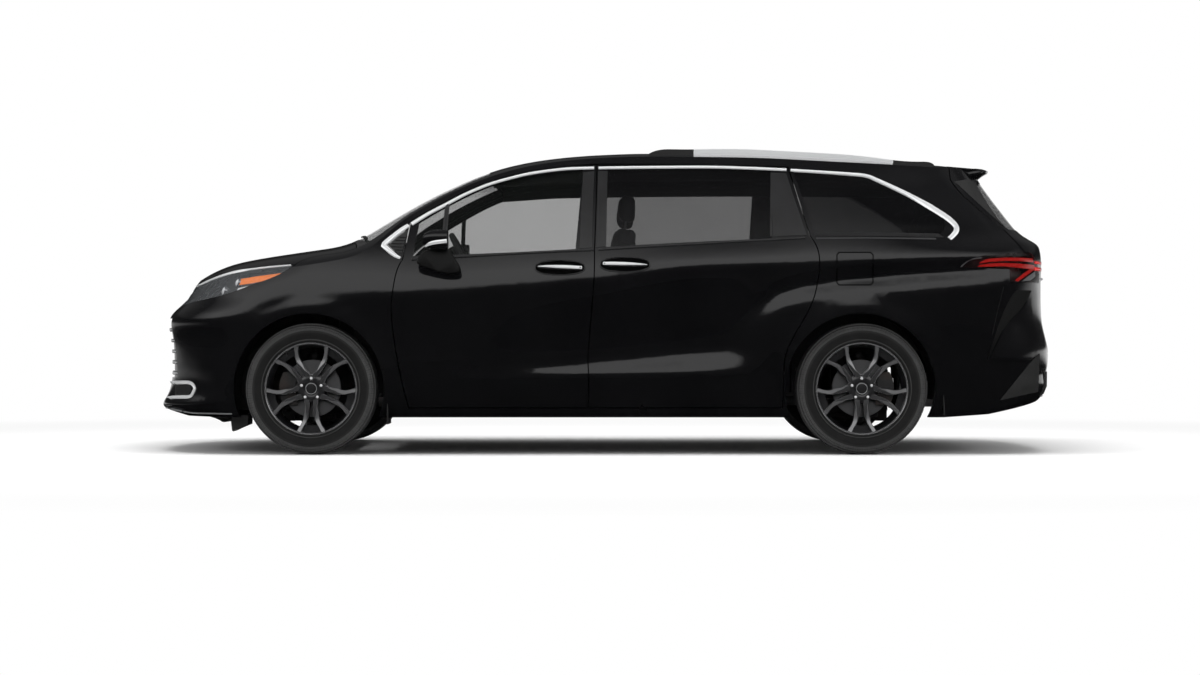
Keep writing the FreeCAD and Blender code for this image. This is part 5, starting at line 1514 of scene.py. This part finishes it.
def underFront():
    # the tray under the front bumper and the deflector ahead of each front wheel
    rows = []
    for k in range(41):
        side = 2 * k / 40 - 1
        rise = 0.030 * side ** 8
        rows.append([(x + 0.10 * side ** 4 * (x < -2.2), 0.66 * side, z + rise) for x, z in trayLine])
    single("frontTray", stretched(rows), plastic)
    rows = []
    for y, size in ((-0.640, 0.94), (-0.644, 1.0), (-0.800, 1.0), (-0.804, 0.94)):
        rows.append([(-2.04 + (x + 2.04) * size, y, 0.17 + (z - 0.17) * size) for x, z in deflectorLine])
    pair("wheelDeflector", *stretched(rows), plastic)


# label, y of the arm's foot and of its tip
wiperArms = (("Left", -0.620, -0.060), ("Right", 0.160, 0.690))


def frontWipers():
    tree = BVHTree.FromPolygons(*nodeMesh(["fixed_glass"]))

    def onGlass(y, ahead, up):
        for k in range(70):
            x = -1.500 + 0.005 * k
            if tree.ray_cast(Vector((x, y, 2.4)), Vector((0, 0, -1)))[0]:
                spot = touch((x + 0.016 + ahead, y, 2.4), (0, 0, -1), 0.008, tree)
                return spot and spot[0] + spot[1] * up
        return None
    for label, foot, tip in wiperArms:
        arm = [onGlass(foot + (tip - foot) * 0.045 * k, 0.002 + 0.0008 * k, 0.0075) for k in range(13)]
        blade = [onGlass(foot + (tip - foot) * (0.08 + 0.046 * k), 0.008 + 0.001 * k, 0.0055) for k in range(21)]
        arm, blade = [p for p in arm if p], [p for p in blade if p]
        if len(arm) < 5 or len(blade) < 5:
            continue
        parts = [tube(arm, [0.0065 - 0.0002 * k for k in range(len(arm))], 12), tube(blade, 0.0045, 10)]
        cap = lathe([(-0.003, 0.0005), (-0.0025, 0.008), (0.001, 0.012), (0.014, 0.013), (0.014, 0.0005)], 32)
        turn = Matrix.Rotation(-math.pi / 2, 4, "X")
        turn.translation = arm[0]
        single("wiper" + label, joined(parts + [moved(cap, turn)]), plastic)


lowerLip()
underFront()
frontWipers()
print("front made")

# Rear: bumper facet, recess with painted shade, foot panel, tailgate trim, mud flaps

facet = {
    "recessFront": [(1016.3, 290.2), (1010, 298.2), (1003.5, 311.8), (997.8, 327.2), (987.6, 359.8)],
    "recessBack": [(1030.6, 290.4), (1026.8, 300.4), (1020.3, 309.6), (1002.0, 331.2), (988.4, 359.8)],
    "front": [(1031.0, 290.8), (1027.7, 300), (1021.3, 309), (1011, 319), (1002.3, 330.7), (996, 343.4),
              (987.4, 360.6)],
    "back": [(1032.2, 291.2), (1031.6, 305), (1032.3, 318), (1034.4, 328), (1036.6, 338), (1037.2, 350),
             (1030.5, 359.8)],
    "top": 296, "edge": 1041, "joint": [(1003.8, 287.0), (997.6, 311.5), (992.4, 334.5)]}


def rearFacet():
    # the recess below the tail lamp, a flat near-black matte sheet on the skin as painted shade, and the tilted
    # facet behind it, with its ledge
    pair("rearRecess", *layer(facet["recessFront"], facet["recessBack"], 30, 8, 0.0012, 0.003), deepBlack)

    def tilt(px, py):
        down = max(0.0, min(1.0, (py - facet["top"]) / 60))
        return 0.002 + 0.026 * down ** 1.3 * max(0.0, min(1.0, (facet["edge"] - px) / 26))
    pair("rearFacet", *layer(facet["front"], facet["back"], 34, 12, 0.0, 0.004, raised(tilt, 0.010)), paint)


foot = {"upper": [(1031.0, 361.2), (1036, 357), (1039.4, 353.6)],
        "lower": [(1000.0, 400.0), (1018, 396), (1037.8, 391.5)], "rows": (0.330, 0.372, 0.415, 0.455),
        "brightHeight": 0.318}


def rearFoot():
    # the satin-black lower panel round the rear bumper's corner
    shape = layer(foot["upper"], foot["lower"], 12, 16, 0.003, 0.004)
    if shape[0]:
        pair("rearFootCorner", *shape, plastic)
    rows = [[rearSkin(y / 1000, z, 0.012) for y in range(-700, 701, 35)] for z in foot["rows"]]
    count = len(rows[0])
    points, faces = [], []
    for sink in (-0.004, 0.004):
        for row in rows:
            points += [p - n * sink for p, n in row]
    size = 4 * count
    for r in range(3):
        for i in range(count - 1):
            a = r * count + i
            faces.append([a, a + 1, a + count + 1, a + count])
            faces.append([size + a, size + a + count, size + a + count + 1, size + a + 1])
    rim = list(range(count)) + [r * count + count - 1 for r in (1, 2, 3)]
    rim += [3 * count + count - 2 - k for k in range(count - 1)] + [r * count for r in (2, 1)]
    faces += [[rim[k], rim[(k + 1) % len(rim)], size + rim[(k + 1) % len(rim)], size + rim[k]]
              for k in range(len(rim))]
    piece("rearFootMiddle", makeMesh("rearFootMiddle", points, faces), plastic)
    line = [rearSkin(y / 1000, foot["brightHeight"], 0.012) for y in range(-640, 641, 32)]
    single("rearFootBright", ribbon(line, [0.010, 0.026, 0.026, 0.026, 0.010], 0.006), satin)


rearFacet()
rearFoot()
pair("rearJointLine", *ribbon(skinLine(facet["joint"], 3.0, 0.006), 0.0045, 0.0006, 0.002), deepBlack)


def across(z, half, count=41, spread=0.008):
    places = [touch((3.2, -half + 2 * half * k / (count - 1), z), (-1, 0, 0), spread) for k in range(count)]
    return [p for p in places if p]


plate = {"half": 0.285, "middle": 0.870, "halfHeight": 0.082}


def tailgateTrim():
    # bright bar above the blank plate recess, the rim round the recess, the lamp bands on the tailgate and the
    # handle
    single("tailgateBar", ribbon(across(0.985, 0.60), [0.010, 0.030, 0.032, 0.030, 0.010], 0.012), chrome,
          "tailgate")
    for name, z, tall in (("tailgateLampUpper", 1.072, 0.016), ("tailgateLampLower", 1.036, 0.020)):
        for sideSign, label in ((-1, "_left"), (1, "_right")):
            rows = [rearSkin(sideSign * (0.48 + 0.30 * k / 16), z, 0.008) for k in range(17)]
            single(name + label, ribbon([r for r in rows if r], tall, 0.004), redGlow, "tailgate")
    rim = [rearSkin(plate["half"] * u, plate["middle"] + plate["halfHeight"] * v, 0.008)
           for u, v in softSquare(48, 0.22, 0.22, 1)]
    single("plateRim", ribbon([r for r in rim if r], 0.012, 0.006), plastic, "tailgate")
    handleBar = ribbon(across(0.962, 0.16, 21), 0.016, 0.010)
    single("tailgateHandle", handleBar, plastic, "tailgate")


def rearWiper():
    pivot = rearSkin(0.0, 1.245, 0.01)
    rows = []
    for k in range(18):
        t = k / 17
        spot = rearSkin(0.02 + 0.42 * t, 1.262 + 0.055 * t - 0.03 * t * t, 0.01)
        if spot:
            rows.append((spot[0] + spot[1] * 0.016, spot[1]))
    arm = tube([p for p, n in rows], [0.010 - 0.005 * k / len(rows) for k in range(len(rows))], 12)
    blade = tube([p - n * 0.008 for p, n in rows[4:]], 0.0045, 10)
    turn = pivot[1].to_track_quat("-Y", "Z").to_matrix().to_4x4()
    turn.translation = pivot[0]
    cap = lathe([(-0.028, 0.0005), (-0.027, 0.014), (-0.020, 0.020), (0.004, 0.022), (0.004, 0.0005)], 32)
    single("rearWiper", joined([arm, blade, moved(cap, turn)]), plastic, "tailgate")


flap = {"plane": 0.90, "middle": -0.845, "half": 0.118, "halfThick": 0.0045}
flapLines = {"mudFlapFront": [(386.6, 374), (388.4, 396), (388.0, 424)],
             "mudFlapRear": [(939.6, 374), (942.0, 396), (943.2, 415)]}


def mudFlaps():
    # thin flaps behind each wheel, hung from the arch
    distance = -view["place"][1] - flap["plane"]
    for name, places in flapLines.items():
        rows = []
        for px, py in smoothLine(places, 10):
            x = view["place"][0] + (px - view["width"] / 2) * distance / focal
            z = view["place"][2] - (py - view["height"] / 2) * distance / focal
            rows.append([(x + flap["halfThick"] * u, flap["middle"] + flap["half"] * v, z)
                         for u, v in softSquare(14, 0.5, 0.5)])
        pair(name, *stretched(rows), plastic)


sidePanel = {"front": [(953.9, 181.6), (958.6, 185.4), (971.9, 197.6), (986.9, 211.4), (998.6, 222.0),
                       (1003.4, 226.0)],
             "back": [(975.6, 178.0), (975.6, 182.7), (978.0, 188.2), (989.6, 207.6), (998.0, 219.4),
                      (1003.8, 225.6)]}


def tailgateSides():
    # the matt panels between the tailgate's gap and the rear window
    shape = layer(sidePanel["front"], sidePanel["back"], 26, 8, 0.0015, 0.003)
    if shape[0]:
        pair("tailgateSide", *shape, plastic, "tailgate")


spoiler = {"half": 0.575, "front": 1.985, "tip": 2.206, "bulge": 0.050, "thick": 0.018, "under": 0.058}


def roofSpoiler():
    # the lip that carries the roof's line on above the rear window
    rows, count = [], 41
    for k in range(count):
        side = 2 * k / (count - 1) - 1
        y = spoiler["half"] * side
        size = (1 - abs(side) ** 6) ** 0.5
        root, end = topSkin(spoiler["front"], y, 0.008), topSkin(spoiler["front"] + 0.06, y, 0.008)
        if not root or not end:
            continue
        slope = (end[0].z - root[0].z) / (end[0].x - root[0].x)
        tip = spoiler["tip"] + spoiler["bulge"] * (1 - side ** 2)
        tipZ = root[0].z + slope * (tip - root[0].x) + 0.004
        under = rearSkin(y, tipZ - spoiler["under"], 0.008)
        if not under:
            continue
        x0, z0, x1, z1 = root[0].x, root[0].z, under[0].x, tipZ - spoiler["under"]
        reach = x1 - 0.02 + (tip - x1 + 0.02) * size
        rows.append([Vector(p) for p in (
            (x0, y, z0 + 0.0015), (x0 + (x1 - x0) * 0.5, y, z0 + slope * (x1 - x0) * 0.5 + 0.003),
            (x1, y, z0 + slope * (x1 - x0) + 0.004),
            ((x1 + reach) / 2, y, tipZ + 0.002 - slope * (tip - (x1 + reach) / 2)), (reach - 0.010, y, tipZ),
            (reach, y, tipZ - spoiler["thick"] * 0.35), (reach - 0.003, y, tipZ - spoiler["thick"]),
            ((x1 + reach) / 2, y, tipZ - spoiler["thick"] - 0.014), (x1 - 0.004, y, z1),
            (x1 - 0.050, y, z1 + 0.010), (x0 + 0.010, y, z0 - 0.012))])
    single("roofSpoiler", stretched(rows), paint, "tailgate")


splashPanel = ((-1.440, -0.520, 0.330), (-1.170, -0.512, 0.640))


def splashPanels():
    # inner panels behind the front wheels that close the view into the engine bay
    pair("splashPanelFront", *softBox(*splashPanel, 0.45, 3), undercoat)


def exhaustTip():
    # the tail pipe out of the silencer
    profile = [(0.0, 0.0345), (0.004, 0.0360), (0.190, 0.0360), (0.192, 0.0350), (0.190, 0.0325), (0.010, 0.0325)]
    turn = Matrix.Rotation(-math.pi / 2, 4, "Z")
    turn.translation = Vector((2.235, 0.300, 0.292))
    single("exhaustTip", moved(lathe(profile, 48), turn), steel)


exhaustTip()
tailgateTrim()
tailgateSides()
roofSpoiler()
rearWiper()
mudFlaps()
splashPanels()
print("rear made")

# Cabin

def padShape(size, rounding, step, form):
    # a closed rounded block of even cells about the origin, then shaped by form(u, v, w, point)
    half = Vector(size) / 2
    cells = [max(4, int(2 * h / step)) for h in half]
    points, faces, known = [], [], {}

    def corner(i, j, k):
        key = (i, j, k)
        if key not in known:
            c = Vector([(2 * a / n - 1) * h for a, n, h in zip(key, cells, half)])
            inner = Vector([max(-(h - rounding), min(h - rounding, v)) for v, h in zip(c, half)])
            rest = c - inner
            known[key] = len(points)
            points.append(inner + rest.normalized() * rounding if rest.length > 1e-9 else c)
        return known[key]
    nx, ny, nz = cells
    for i in range(nx):
        for j in range(ny):
            faces.append([corner(i, j, 0), corner(i, j + 1, 0), corner(i + 1, j + 1, 0), corner(i + 1, j, 0)])
            faces.append([corner(i, j, nz), corner(i + 1, j, nz), corner(i + 1, j + 1, nz), corner(i, j + 1, nz)])
        for k in range(nz):
            faces.append([corner(i, 0, k), corner(i + 1, 0, k), corner(i + 1, 0, k + 1), corner(i, 0, k + 1)])
            faces.append([corner(i, ny, k), corner(i, ny, k + 1), corner(i + 1, ny, k + 1), corner(i + 1, ny, k)])
    for j in range(ny):
        for k in range(nz):
            faces.append([corner(0, j, k), corner(0, j, k + 1), corner(0, j + 1, k + 1), corner(0, j + 1, k)])
            faces.append([corner(nx, j, k), corner(nx, j + 1, k), corner(nx, j + 1, k + 1), corner(nx, j, k + 1)])
    shaped = [form(p.x / half.x, p.y / half.y, p.z / half.z, p.copy()) for p in points]
    return shaped, faces


def groove(distance, width=0.010):
    return math.exp(-(distance / width) ** 2)


seam = {"depth": 0.009, "insert": 0.66, "bolster": 0.024, "crown": 0.016}


def cushionForm(size, channels):
    def form(u, v, w, p):
        # v goes across the seat, u from its front edge to its back
        top = max(0.0, w)
        bolster = max(0.0, (abs(v) - 0.60) / 0.40)
        swell = math.sin(min(1.0, bolster * 1.4) * math.pi)
        rise = seam["crown"] * (1 - u * u) * (1 - v * v) + seam["bolster"] * swell * 0.8
        rise -= 0.030 * max(0.0, -u - 0.45) ** 2
        cut = groove((abs(v) - seam["insert"]) * size[1] / 2)
        if abs(v) < seam["insert"]:
            cut = max(cut, max([groove((u - c) * size[0] / 2, 0.009) for c in channels] + [0]) * 0.75)
        p.z += top ** 3 * (rise - seam["depth"] * cut)
        edge = groove((w - 0.30) * size[2] / 2, 0.007) * (1 - top ** 8)
        p.x -= math.copysign(seam["depth"] * 0.45 * edge, u) * (1 if abs(u) > 0.9 else 0)
        p.y -= math.copysign(seam["depth"] * 0.45 * edge, v) * (1 if abs(v) > 0.9 else 0)
        p.y *= 1 - 0.030 * (1 - u * u) * (abs(w) < 0.9)
        p.x *= 1 - 0.020 * (1 - v * v)
        return p
    return form


def backForm(size, channels):
    def form(u, v, w, p):
        # u is through the back (front is -1), v across it, w up it
        front = max(0.0, -u)
        waist = 1 - 0.10 * max(0.0, w) ** 2 - 0.05 * max(0.0, -w) ** 2
        bolster = max(0.0, (abs(v) - 0.60) / 0.40)
        swell = math.sin(min(1.0, bolster * 1.4) * math.pi) * (1 - abs(w) ** 3)
        rise = seam["crown"] * (1 - w * w) * (1 - v * v) + seam["bolster"] * swell
        cut = groove((abs(v) - seam["insert"]) * size[1] / 2)
        if abs(v) < seam["insert"]:
            cut = max(cut, max([groove((w - c) * size[2] / 2, 0.009) for c in channels] + [0]) * 0.75)
        p.x -= front ** 3 * (rise - seam["depth"] * cut)
        edge = groove((u - 0.1) * size[0] / 2, 0.007)
        p.y -= math.copysign(seam["depth"] * 0.45 * edge, v) * (1 if abs(v) > 0.9 else 0)
        p.z -= math.copysign(seam["depth"] * 0.45 * edge, w) * (1 if abs(w) > 0.9 else 0)
        p.y *= waist
        p.x += 0.010 * w * w * (u > 0)
        return p
    return form


def headForm(size):
    def form(u, v, w, p):
        cut = groove((abs(v) - 0.72) * size[1] / 2, 0.008)
        p.x -= max(0.0, -u) ** 3 * (0.012 * (1 - v * v) * (1 - w * w) - 0.006 * cut)
        p.y *= 1 - 0.10 * max(0.0, w) ** 2 - 0.12 * max(0.0, -w) ** 2
        p.x += 0.012 * (1 - w) * (u > 0.2) * 0.5
        return p
    return form


# front end, middle line, width, floor, cushion height, back height and lean of each row's seats
seatRows = {"front": (-0.430, 0.390, 0.500, 0.335, 0.190, 0.760, 5),
            "middle": (0.480, 0.390, 0.540, 0.335, 0.190, 0.670, 13),
            "rear": (1.290, 0.335, 0.330, 0.590, 0.060, 0.560, 13)}


def oneSeat(label, x, y, width, floor, height, backHeight, angle):
    top = floor + height
    lean = (Matrix.Translation((x + 0.480, y, top + 0.090)) @ Matrix.Rotation(math.radians(angle), 4, "Y")
            @ Matrix.Translation((-x - 0.480, -y, -top - 0.090)))
    step = 0.0115

    def put(name, size, centre, rounding, form, turn):
        shape = padShape(size, rounding, step, form)
        shape = moved(shape, turn @ Matrix.Translation(centre))
        made = single(name + label, shape, seatLeather, sharp=None)
        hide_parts("seats")
    still = Matrix.Identity(4)
    put("seatCushion", (0.505, width - 0.006, 0.138), (x + 0.256, y, top + 0.078), 0.045,
        cushionForm((0.505, width, 0.138), (-0.42, 0.04, 0.46)), still)
    put("seatBack", (0.112, width - 0.026, backHeight - 0.100), (x + 0.500, y, top + 0.040 + backHeight / 2),
        0.042, backForm((0.112, width, backHeight - 0.10), (-0.45, -0.10, 0.25, 0.58)), lean)
    wide = min(0.260, width - 0.060)
    headBase = top + backHeight + 0.030
    put("headrest", (0.082, wide - 0.012, 0.150), (x + 0.500, y, headBase + 0.082), 0.036,
        headForm((0.082, wide, 0.15)), lean)
    posts = []
    for side in (-1, 1):
        line = [lean @ Vector((x + 0.500, y + side * 0.062, headBase - 0.090 + 0.030 * k)) for k in range(5)]
        posts.append(tube(line, 0.0065, 14))
        collar = [lean @ Vector((x + 0.500, y + side * 0.062, headBase - 0.062 + 0.012 * k)) for k in range(3)]
        posts.append(tube(collar, [0.013, 0.0125, 0.010], 16))
    single("headrestPosts" + label, joined(posts), satin)
    # plinth, side shields, hinge covers and the rear shell of the back
    parts = [softBox((x + 0.045, y - width / 2 + 0.040, floor + 0.001),
                     (x + 0.455, y + width / 2 - 0.040, top + 0.030), 0.12, 3)]
    if height > 0.1:
        for side in (-1, 1):
            shield = softBox((x + 0.060, -0.022, top - 0.050), (x + 0.520, 0.022, top + 0.045), 0.42, 4)
            parts.append(moved(shield, Matrix.Translation((0, y + side * (width / 2 - 0.012), 0))))
            joint = lathe([(-0.030, 0.0004), (-0.030, 0.042), (-0.022, 0.052), (0.022, 0.052), (0.030, 0.042),
                           (0.030, 0.0004)], 32)
            place = (x + 0.480, y + side * (width / 2 - 0.012), top + 0.075)
            parts.append(moved(joint, Matrix.Translation(place)))
            slide = softBox((x + 0.010, -0.020, floor + 0.001), (x + 0.500, 0.020, floor + 0.030), 0.3, 2)
            parts.append(moved(slide, Matrix.Translation((0, y + side * (width / 2 - 0.090), 0))))
    shell = softBox((x + 0.548, y - width / 2 + 0.055, top + 0.080),
                    (x + 0.566, y + width / 2 - 0.055, top + backHeight - 0.080), 0.45, 3)
    parts.append(moved(shell, lean))
    single("seatFrame" + label, joined(parts), cabinPlastic)
    if height > 0.1:
        rest, sides = [], {"FrontLeft": (1,), "FrontRight": (-1,)}.get(label, (-1, 1))
        for side in sides:
            arm = softBox((x + 0.130, -0.034, top + 0.235), (x + 0.475, 0.034, top + 0.292), 0.46, 5)
            rest.append(moved(arm, Matrix.Translation((0, y + side * (width / 2 + 0.026), 0))))
        made = single("armrest" + label, joined(rest), seatLeather, sharp=None)
    buckle = []
    for side in (-1, 1):
        if height > 0.1 and side == (1 if y > 0 else -1):
            continue
        lockY = y + side * (width / 2 - 0.030)
        stalk = tube([Vector((x + 0.440, lockY, top + 0.060 + 0.030 * k)) for k in range(5)], 0.008, 10)
        lock = softBox((x + 0.423, lockY - 0.018, top + 0.170), (x + 0.457, lockY + 0.018, top + 0.232), 0.3, 3)
        buckle += [stalk, lock]
        if height < 0.1:
            break
    single("seatBuckle" + label, joined(buckle), plastic)


for row, (x, y, *sizes) in seatRows.items():
    for side, sideName in ((-1, "Left"), (1, "Right")):
        oneSeat(row.capitalize() + sideName, x, side * y, *sizes)
    if row == "rear":
        oneSeat("RearMiddle", x, 0.0, *sizes)
print("seats made")

cabinTree = BVHTree.FromPolygons(*nodeMesh(["underbody", "roof", "front_door_left", "sliding_door_left",
                                            "body_side_left", "tailgate", "rear_bumper", "cowl"]))


def floorPoint(x, y):
    return touch((x, y, 0.9), (0, 0, -1), 0.006, cabinTree)


def wallPoint(x, z):
    return touch((x, -0.35, z), (0, -1, 0), 0.010, cabinTree)


def ceilingPoint(x, y):
    return touch((x, y, 1.35), (0, 0, 1), 0.012, cabinTree)


def sheetOver(find, x0, x1, y0, y1, nx, ny, lift):
    edges = [[(x0 + (x1 - x0) * i / (nx - 1), y) for i in range(nx)] for y in (y0, y1)]
    return layer(*edges, nx, ny, lift, 0.002, find)


def flooring():
    parts = [sheetOver(floorPoint, x0, x1, y0, y1, nx, ny, 0.007) for x0, x1, y0, y1, nx, ny in (
        (-1.05, 1.07, -0.70, 0.70, 48, 32), (1.115, 1.78, -0.50, 0.50, 20, 24), (1.92, 2.36, -0.49, 0.49, 14, 24))]
    single("floorCarpet", joined([p for p in parts if p[0]]), floorCarpet)
    liner = sheetOver(ceilingPoint, -0.55, 1.80, -0.52, 0.52, 50, 26, 0.004)
    if liner[0]:
        single("headliner", liner, headCloth)


flooring()


def railTrim():
    # cloth-covered trim along the roof rails, over the heads of the doors
    rows = []
    for x in numpy.linspace(-0.62, 1.86, 60):
        top = ceilingPoint(x, -0.56)
        if top is None:
            continue
        z = min(top[0].z, 1.66)
        lower = 1.512 + 0.018 * math.sin((x + 0.6) * 1.1) - 0.05 * max(0.0, -x - 0.30)
        middle = (z + lower) / 2
        section = [(-0.575, z - 0.004), (-0.630, z - 0.018), (-0.672, z - 0.060), (-0.688, middle - 0.020),
                   (-0.697, lower + 0.010), (-0.690, lower), (-0.672, lower + 0.006), (-0.655, middle),
                   (-0.620, z - 0.040), (-0.575, z - 0.020)]
        rows.append([(x, y, height) for y, height in section])
    pair("railTrim", *stretched(rows), headCloth)


railTrim()


# name, body, front and rear end
doorPanels = (("frontDoorLining", "front_door_left", -0.96, -0.13), ("slidingDoorLining", "vehicle", 0.02, 1.02))


def doorLining():
    # padded lining, armrest and pull on the inside of each door
    for name, body, x0, x1 in doorPanels:
        edges = [[(x0 + (x1 - x0) * i / 29, z) for i in range(30)] for z in (0.42, 1.02)]
        panel = layer(*edges, 30, 20, 0.006, 0.002, wallPoint, 0.006)
        if panel[0]:
            pair(name, *panel, cabinPlastic, body)
        middle = wallPoint((x0 + x1) / 2, 0.80)
        if middle:
            y = middle[0].y
            arm = softBox((x0 + 0.16, y - 0.004, 0.800), (x1 - 0.14, y + 0.070, 0.858), 0.40, 5)
            pull = softBox((x0 + 0.24, y - 0.004, 0.905), (x0 + 0.40, y + 0.030, 0.932), 0.42, 4)
            pair(name + "Arm", *joined([arm, pull]), dashLeather, body)


doorLining()


def dashDetails():
    tree = BVHTree.FromPolygons(*nodeMesh(["dashboard"]))

    def face(y, z):
        return touch((-0.2, y, z), (-1, 0, 0), 0.012, tree)
    middle = face(0.0, 0.985)
    if middle:
        x = middle[0].x
        screen = softBox((x - 0.010, -0.150, 0.925), (x + 0.022, 0.150, 1.070), 0.25, 3)
        single("dashScreen", screen, gloss)
    vents, frames = [], []
    for y in (-0.640, -0.215, 0.215, 0.640):
        spot = face(y, 0.955)
        if not spot:
            continue
        x = spot[0].x
        ring = [Vector((x + 0.004, y + 0.062 * u, 0.955 + 0.030 * v)) for u, v in softSquare(40, 0.4, 0.4)]
        frames.append(tube(ring, 0.0035, 8, True))
        for k in range(5):
            foot, head = 0.934 + 0.0105 * k, 0.9375 + 0.0105 * k
            vents.append(softBox((x - 0.004, y - 0.058, foot), (x + 0.006, y + 0.058, head), 0.3, 2))
    if vents:
        single("dashVents", joined(vents), cabinPlastic)
        single("dashVentFrames", joined(frames), satin)
    line = [face(-0.70 + 1.40 * k / 40, 0.895) for k in range(41)]
    single("dashInlay", ribbon([p for p in line if p], 0.022, 0.004), satin)


dashDetails()

print("cabin made")

bpy.context.view_layer.update()
